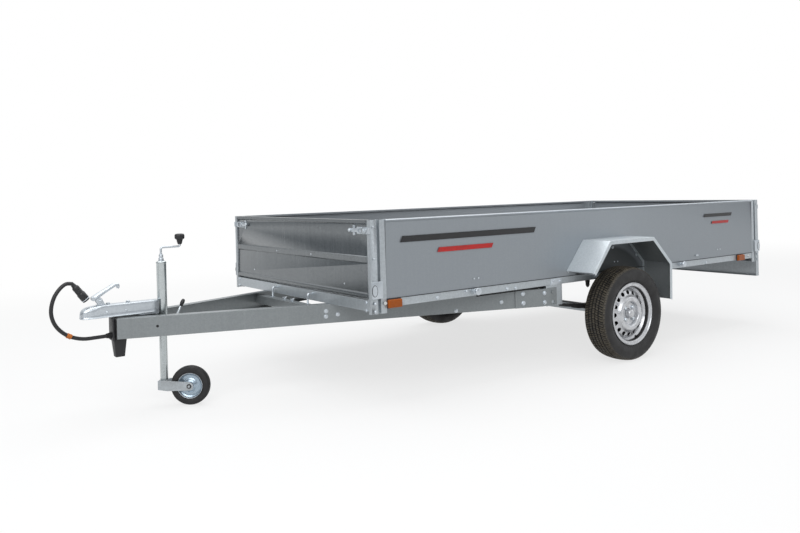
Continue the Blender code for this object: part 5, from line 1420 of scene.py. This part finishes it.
def makePostTrim():
    # clasp plate's raised oval round the gate's pin, its cover and bolts, the light seam screws
    look = claspLook
    turn = np.linspace(0, 2 * np.pi, 48, endpoint=False)
    circle = np.c_[np.cos(turn), np.sin(turn)]
    face = halfWidth + look["lift"]
    for end, endName in bothEnds:
        endX = endXOf[end]
        for side, name in bothSides:
            label = "%s_%s" % (endName, name)
            inward, z = look["oval"]
            # painted shadow: a black oval a little wider than the raised one lies under it as its shadow ring
            ring, shade = (onSide(plateShape(circle * (wide, tall), low, high),
                                  endX - end * inward, face, z, side)
                           for wide, tall, low, high in look["ovals"])
            addPiece("clasp_oval_shadow_" + label, [shade], "drumBlack", bedBody)
            inward, z = look["cover"]
            cover = onSide(domedPad(*look["coverSize"]), endX - end * inward, face, z, side)
            bead = np.array(roundedOutline(*look["bead"]))
            beadY = np.full(len(bead), side * (face + 0.0003))
            loop = np.c_[endX - end * inward + bead[:, 0], beadY, z + bead[:, 1]]
            shapes = [ring, cover, ringShape(loop, look["beadRadius"], 8)]
            for inward, z in look["rivets"]:
                shapes.append(onSide(rivetShape(0.0062, 0.0028), endX - end * inward, face, z, side))
            for inward, z in look["bolts"]:
                shapes.append(onSide(boltShape(0.012, 0.0045, 1.4), endX - end * inward, halfWidth, z, side))
            for z in look["seamZ"]:
                shapes.append(onSide(rivetShape(0.0055, 0.0024), endX - end * look["seamIn"],
                                     halfWidth, z, side))
                shapes.append(onSide(rivetShape(0.0045, 0.0022), endX - end * look["returnIn"],
                                     halfWidth - look["returnY"], z, side))
            addPiece("post_fittings_" + label, shapes, "brightZinc", bedBody, edge=0.0002)
            drop = 0 if end < 0 else look["rearDrop"]
            small = [onEnd(boltShape(0.012, 0.0045, 1.4), endX, side * y, z - drop, end)
                     for y, z in boxLook["frontBolts"]]
            addPiece("cross_rail_bolts_" + label, small, "brightZinc", bedBody, edge=0.0003)


def ringShape(path, radius, steps=10):
    # circle carried round a closed path
    along = np.roll(path, -1, 0) - np.roll(path, 1, 0)
    along /= np.linalg.norm(along, axis=1)[:, None]
    side = np.cross(along, (0.0, 1.0, 0.0))
    weak = np.linalg.norm(side, axis=1) < 0.3
    side[weak] = np.cross(along[weak], (1.0, 0.0, 0.0))
    side /= np.linalg.norm(side, axis=1)[:, None]
    other = np.cross(along, side)
    t = np.arange(steps) * 2 * np.pi / steps
    ring = np.cos(t)[None, :, None] * side[:, None] + np.sin(t)[None, :, None] * other[:, None]
    points = path[:, None] + radius * ring
    return points.reshape(-1, 3), gridFaces(len(path), steps, True, True).tolist()


# latches: each part's shape, how far out it stands, how far in from the gate's corner, and its rise
latchLook = {
    "back": 0.007,
    "cornerIn": 0.034,
    "drop": 0.051,
    "parts": [(boltShape(0.013, 0.0052, 1.35), 0.0118, 0.017, 0),
              (domedPad(0.0912, 0.0352, 0.0034, 0.004, 0.001), 0, 0.045, 0),
              (domedPad(0.151, 0.019, 0.0094, 0.008, 0.003), 0, 0.075, 0),
              (latheShape([(0, 0.0125), (0.0125, 0.0125), (0.0154, 0.011), (0.0156, 0.003), (0, 0.003)], 32),
               0, 0.017, 0),
              (rivetShape(0.0036, 0.002), 0.0029, 0.083, 0.0125),
              (rivetShape(0.0036, 0.002), 0.0029, 0.083, -0.0125),
              (rivetShape(0.0036, 0.002), 0.0029, 0.045, 0.013),
              (rivetShape(0.0036, 0.002), 0.0029, 0.045, -0.013),
              (latheShape([(0, 0.0125), (0.0052, 0.0115), (0.0088, 0.008), (0.0098, 0.004), (0.0085, 0.0),
                           (0, 0.0)], 22), 0.008, 0.14, 0),
              (domedPad(0.02, 0.05, 0.004, 0.003, 0.0012), 0.0002, 0.114, 0),
              (rivetShape(0.0034, 0.002), 0.0042, 0.114, 0.019),
              (rivetShape(0.0034, 0.002), 0.0042, 0.114, -0.019)],
    "bail": (0.0225, 0.0135),
    "bailOut": 0.0115,
    "bailBow": 0.0012,
    "bailIn": 0.046,
    "bailRadius": 0.0022,
    "catch": (0.02, 0.03, 0.006, 0.003, 0.002),
    "catchIn": 0.0125,
    "ribZ": 0.65,
}


def roundedWave(wave):
    # the wave's size to the power 0.6, with its own sign: a circle made of two becomes a rounded oblong
    return np.sign(wave) * np.abs(wave) ** 0.6


def makeGateTrim():
    # the latch's parts and wire bail on each corner of a gate, the post's catch beside it, and the rivets
    look = latchLook
    wide, tall = look["bail"]
    t = np.linspace(0, 2 * np.pi, 40, endpoint=False)
    for node, end in (("front_gate", -1), ("tailgate", 1)):
        endX = endXOf[end]
        face = endX - end * look["back"]
        corner = halfWidth - look["cornerIn"]
        z = boxTopZ - look["drop"]
        shapes = []
        for side, name in bothSides:
            for shape, out, inward, rise in look["parts"]:
                shapes.append(onEnd(shape, face + end * out, side * (corner - inward), z + rise, end))
            loop = np.c_[np.full(40, face + end * look["bailOut"]) + end * look["bailBow"] * np.cos(t),
                         side * (corner - look["bailIn"]) + wide * roundedWave(np.cos(t)),
                         z + tall * roundedWave(np.sin(t))]
            shapes.append(ringShape(loop, look["bailRadius"]))
            hook = onEnd(domedPad(*look["catch"]), endX, side * (halfWidth - look["catchIn"]), z, end)
            addPiece("gate_catch_%s_%s" % (node, name), [hook], "brightZinc", bedBody)
        for y, height in boxLook["ribRivets"]:
            spot = endX if height > look["ribZ"] else face
            shapes.append(onEnd(rivetShape(0.0046, 0.0022), spot, y, height, end))
        addPiece("gate_latch_" + node, shapes, "brightZinc", bodyOf(node), edge=0.0002)


# guard: the bead's line as distances behind the axle and heights, and each flat's shares that get a point
guardLook = {
    "line": [(-0.38, 0.548), (-0.2325, 0.72), (0.171, 0.72), (0.341, 0.555), (0.335, 0.332)],
    "shares": (0.0, 0.035, 0.5, 0.965),
    "inset": 0.0031,
    "radius": 0.003,
    "bolts": [(0.259, 0.6), (-0.2, 0.6), (0.03, 0.66)],
}


def makeGuardBeads():
    # bead along the guard's outer lip, through the corners of its packed outline
    look = guardLook
    for side, name in bothSides:
        low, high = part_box("mudguard_" + name)
        y = low.y + look["inset"] if side < 0 else high.y - look["inset"]
        corners = []
        for first, second in zip(look["line"], look["line"][1:]):
            corners += [tuple(np.array(first) + (np.array(second) - first) * k) for k in look["shares"]]
        corners.append(look["line"][-1])
        path = [(axleX + dx, y, z - look["radius"]) for dx, z in corners]
        addPiece("mudguard_bead_" + name, [tubeShape(path, look["radius"], 12)], "brightZinc",
                 bodyOf("mudguard_" + name))
        bolts = [onSide(boltShape(0.015, 0.006, 1.5), axleX + dx, halfWidth, z, side)
                 for dx, z in look["bolts"]]
        addPiece("mudguard_bolts_" + name, bolts, "brightZinc", bedBody, edge=0.0003)


makeSideTrim()
makeGuardBeads()
makePostTrim()
makeGateTrim()
print("box fittings made")


# lamps: the section widths of the rear lamp and the sizes of the side marker
lampLook = {
    "sections": [("orangeLens", -0.07, 0.066), ("redLens", 0.0, 0.07), ("whiteLens", 0.07, 0.066)],
    "baseDepth": 0.014,
    "lensDepth": 0.027,
    "triangleY": 0.34,
    "triangleShare": 0.8,
    "lensOut": 0.0125,
    "screws": (-0.035, 0.035),
    "dot": [(0, 0.0072), (0.005, 0.007), (0.0078, 0.0055), (0.0088, 0.003), (0.009, 0.0), (0, 0)],
    "dotShift": {-1: -0.054, 1: 0.115},
    "dotZ": 0.4985,
}


def makeLamps():
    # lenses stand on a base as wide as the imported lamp
    look = lampLook
    panelLow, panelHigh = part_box("rear_lamp_panel")
    for side, name in bothSides:
        low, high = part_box("rear_lamp_" + name)
        middle = (low + high) / 2
        body = bodyOf("rear_lamp_" + name)
        node = "rear_lamp_" + name
        foot = endways(low.x, middle.y, middle.z, 1)
        base = domedPad(high.y - low.y, high.z - low.z, look["baseDepth"], 0.01, 0.003)
        addPiece("rear_lamp_base_" + name, [placed(base, foot)], "lampBase", body, [node])
        for material, shift, width in look["sections"]:
            lens = domedPad(width + 0.003, high.z - low.z - 0.008, look["lensDepth"], 0.006, 0.007)
            lens = onEnd(lens, low.x + look["lensOut"], middle.y - side * shift, middle.z, 1)
            addPiece("rear_lamp_%s_%s" % (material, name), [lens], material, body, [node])
        screws = [onEnd(rivetShape(0.0038, 0.0016), low.x + look["lensOut"] + look["lensDepth"],
                        middle.y + side * dy, middle.z, 1) for dy in look["screws"]]
        addPiece("rear_lamp_screws_" + name, screws, "brightZinc", body)
        # three-cornered reflector, point up: a black tray and the red plate on it
        tall = panelHigh.z - panelLow.z
        corner = look["triangleShare"] * tall / 1.5
        signZ = (panelLow.z + panelHigh.z) / 2 - corner / 4
        sign = Matrix(((0, 0, 1, panelHigh.x), (1, 0, 0, side * look["triangleY"]),
                       (0, 1, 0, signZ), (0, 0, 0, 1)))
        plates = (("rear_triangle_base_", "lampBase", corner, 0.0002, 0.006),
                  ("rear_triangle_", "redLens", corner - 0.008, 0.0061, 0.0088))
        for label, material, reach, bottom, top in plates:
            outline = [(reach * math.cos(math.pi / 2 + k * 2 * math.pi / 3),
                        reach * math.sin(math.pi / 2 + k * 2 * math.pi / 3)) for k in range(3)]
            addPiece(label + name, [placed(plateShape(outline, bottom, top), sign)],
                     material, body, edge=0.001)
    for end, endName in bothEnds:
        for side, name in bothSides:
            node = "side_marker_%s_%s" % (endName, name)
            low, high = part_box(node)
            middle = (low + high) / 2
            inner = low.y if side > 0 else high.y
            body = bodyOf(node)
            foot = sideways(middle.x, inner, middle.z, side)
            base = domedPad(high.x - low.x, high.z - low.z, 0.006, 0.006, 0.0015)
            lens = domedPad(high.x - low.x - 0.004, high.z - low.z - 0.004, 0.0138, 0.006, 0.0055)
            addPiece("side_marker_base_%s_%s" % (endName, name), [placed(base, foot)], "lampBase",
                     body, [node])
            addPiece("side_marker_lens_%s_%s" % (endName, name),
                     [placed(lens, foot @ Matrix.Translation((0, 0, 0.0058)))], "orangeLens", body, [node])
            x = middle.x + look["dotShift"][end]
            face = halfWidth if end < 0 else -railLow.y
            white = onSide(latheShape(look["dot"], 26), x, face, look["dotZ"], side)
            addPiece("side_dot_%s_%s" % (endName, name), [white], "whiteLens", body)


makeLamps()
print("lamps made")


# running gear: nuts under the spring plates, spring bands and the rubber stops
gearLook = {
    "stop": [(0, 0), (0.016, 0), (0.016, -0.008), (0.015, -0.01), (0.0152, -0.05), (0.0128, -0.06),
             (0.014, -0.066), (0.0146, -0.074), (0.0132, -0.082), (0.0122, -0.086), (0.0128, -0.093),
             (0.0112, -0.101), (0.007, -0.1085), (0, -0.1138)],
    "bands": (-0.3, -0.15, 0.15, 0.3),
    "bandHalf": 0.01,
    "nut": [(0.0052, 0), (0.0052, 0.008), (0.0078, 0.008), (0.009, 0.0072), (0.009, 0.0), (0.0052, 0)],
    "nutSpots": [(dx, dy) for dx in (-0.0278, 0.0278) for dy in (-0.0295, 0.0295)],
    "beamHalf": 0.0225,
    "leaf": 0.008,
    "slit": 0.0006,
    "camber": 0.044,
    "halfSpan": 0.502,
}


def makeRunningGear():
    # a band lies at the spring's height, which rises with the square of the distance from the axle
    look = gearLook
    for _, name in bothSides:
        low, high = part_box("bump_stop_" + name)
        middle = (low + high) / 2
        share = (high.z - low.z) / -look["stop"][-1][1]
        stop = latheShape([(r, h * share) for r, h in look["stop"]], 32)
        addPiece("bump_stop_rubber_" + name, [placed(stop, Matrix.Translation((middle.x, middle.y, high.z)))],
                 "blackRubber", bodyOf("bump_stop_" + name), ["bump_stop_" + name])
        springLow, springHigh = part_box("leaf_spring_" + name)
        y = (springLow.y + springHigh.y) / 2
        nuts = []
        underZ = wheelZ - look["beamHalf"] + 0.002 - 0.006
        for dx, dy in look["nutSpots"]:
            down = Matrix.Translation((axleX + dx, y + dy, underZ)) @ Matrix.Rotation(math.pi, 4, "X")
            nuts.append(placed(latheShape(look["nut"], 6), down))
        addPiece("spring_plate_nuts_" + name, nuts, "brightZinc", bodyOf("axle_beam"), edge=0.0003)
        bands = []
        half = (springHigh.y - springLow.y) / 2
        topZ = wheelZ + look["beamHalf"] + 0.0003 + 4 * look["leaf"] + 3 * look["slit"]
        for dx in look["bands"]:
            curve = look["camber"] * (dx / look["halfSpan"]) ** 2
            leaves = 3 if abs(dx) < 0.2 else 2
            z1 = topZ + curve
            z0 = z1 - leaves * (look["leaf"] + look["slit"])
            ring = [(-half, z0), (half, z0), (half, z1), (-half, z1)]
            outer = [(-half - 0.0012, z0 - 0.0016), (half + 0.0012, z0 - 0.0016),
                     (half + 0.0012, z1 + 0.0016), (-half - 0.0012, z1 + 0.0016)]
            wide = look["bandHalf"]
            bands.append(bandShape(ring, outer, axleX + dx - wide, axleX + dx + wide, y))
        addPiece("spring_bands_" + name, bands, "springBlack", bodyOf("leaf_spring_" + name), edge=0.0004)


def bandShape(inner, outer, x0, x1, y):
    # square ring in Y and Z carried from x0 to x1
    a = np.array(inner)
    b = np.array(outer)
    rings = [np.c_[np.full(4, x), y + flat[:, 0], flat[:, 1]]
             for x, flat in ((x0, a), (x0, b), (x1, b), (x1, a))]
    return np.vstack(rings), gridFaces(4, 4, True, True).tolist()


makeRunningGear()
print("running gear made")


# stage: pale floor that turns to plain white away from the trailer, so only its shadow is seen
studio = {
    "floorSize": 60.0,
    "floorPale": 0.9,
    "floorBounce": 0.26,
    "shadowReach": (1.6, 6.5),
    "shadowShare": 0.28,
    "sky": 0.42,
    "keyWatts": 280.0,
    "fillWatts": 45.0,
    "topWatts": 200.0,
    "oval": (0.55, 1.0, 1.0),
    "ahead": (0.59, 0.81),
    "roomDark": (0.24, 0.265, 0.29),
    "roomLight": (0.98, 0.99, 1.0),
    "skyTone": (0.95, 0.98, 1.0),
}


def mixedShader(tree, factor, first, second):
    # the first shader where the factor is 0, the second where it is 1
    return addNode(tree, "MixShader", {0: factor, 1: first, 2: second}).outputs[0]


def clearRays(tree, path):
    # 1 for rays from the camera, straight or through glass
    return mathNode(tree, "MAXIMUM", path["Is Camera Ray"], path["Is Transmission Ray"])


def litByView(tree, seen, unseen):
    # camera, mirror and glass rays get the first shader, and light bounces get the second
    path = addNode(tree, "LightPath").outputs
    rays = mathNode(tree, "MAXIMUM", clearRays(tree, path), path["Is Glossy Ray"])
    return mixedShader(tree, rays, unseen, seen)


def makeFloor():
    # square floor whose matt shader turns to plain white along an oval about the trailer
    half = studio["floorSize"] / 2
    mesh = bpy.data.meshes.new("floor")
    mesh.from_pydata([(-half, -half, 0), (half, -half, 0), (half, half, 0), (-half, half, 0)],
                     [], [(0, 1, 2, 3)])
    floor = bpy.data.objects.new("floor", mesh)
    scene.collection.objects.link(floor)
    material = bpy.data.materials.new("floorPale")
    material.use_nodes = True
    tree = material.node_tree
    tree.nodes.clear()
    oval = scaledVector(tree, addNode(tree, "TexCoord").outputs["Object"], studio["oval"])
    near, far = studio["shadowReach"]
    share = rampNode(tree, lengthNode(tree, oval), near, far, 1 - studio["shadowShare"], 1.0)
    matt, bounce = (addNode(tree, "BsdfDiffuse", {"Color": (studio[tone],) * 3 + (1,)}).outputs[0]
                    for tone in ("floorPale", "floorBounce"))
    seen = mixedShader(tree, share, matt, addNode(tree, "Emission").outputs[0])
    addNode(tree, "OutputMaterial", {"Surface": litByView(tree, seen, bounce)})
    mesh.materials.append(material)


def makeWorld():
    # white to the camera; mirrors see a room that is white behind the trailer and darker behind the camera
    world = bpy.data.worlds.new("studio")
    scene.world = world
    world.use_nodes = True
    tree = world.node_tree
    tree.nodes.clear()
    split = splitVector(tree, addNode(tree, "TexCoord").outputs["Generated"])
    aheadX, aheadY = studio["ahead"]
    ahead = mathNode(tree, "MULTIPLY_ADD", split["X"], aheadX, mathNode(tree, "MULTIPLY", split["Y"], aheadY))
    behind = rampNode(tree, ahead, 0.3, 0.85)
    rise = rampNode(tree, split["Z"], 0.05, 0.6)
    room = mathNode(tree, "MAXIMUM", behind, rise)
    roomColour = blendColour(tree, room, studio["roomDark"], studio["roomLight"])
    path = addNode(tree, "LightPath").outputs
    seen = addNode(tree, "Background", {"Color": (1, 1, 1, 1)}).outputs[0]
    mirrored = addNode(tree, "Background", {"Color": roomColour}).outputs[0]
    soft = addNode(tree, "Background", {"Color": (*studio["skyTone"], 1), "Strength": studio["sky"]}).outputs[0]
    glossy = mixedShader(tree, path["Is Glossy Ray"], soft, mirrored)
    addNode(tree, "OutputWorld", {"Surface": mixedShader(tree, clearRays(tree, path), glossy, seen)})


def softLamp(name, place, target, size, watts):
    # area lamp that faces its target
    data = bpy.data.lights.new(name, "AREA")
    data.shape = "RECTANGLE"
    data.size, data.size_y = size
    data.energy = watts
    lamp = bpy.data.objects.new(name, data)
    turn = (Vector(target) - Vector(place)).to_track_quat("-Z", "Y")
    lamp.matrix_world = Matrix.Translation(place) @ turn.to_matrix().to_4x4()
    scene.collection.objects.link(lamp)
    lamp.visible_camera = False


makeFloor()
makeWorld()
softLamp("key", (-5.0, -5.0, 4.6), (0, 0, 0.5), (6.0, 5.0), studio["keyWatts"])
softLamp("fill", (5.5, -4.5, 2.6), (0.6, 0, 0.5), (5.0, 4.0), studio["fillWatts"])
softLamp("top", (0.2, 0.8, 5.2), (0.2, 0, 0.5), (8.0, 5.0), studio["topWatts"])
scene.view_settings.view_transform = "Standard"
print("studio set")
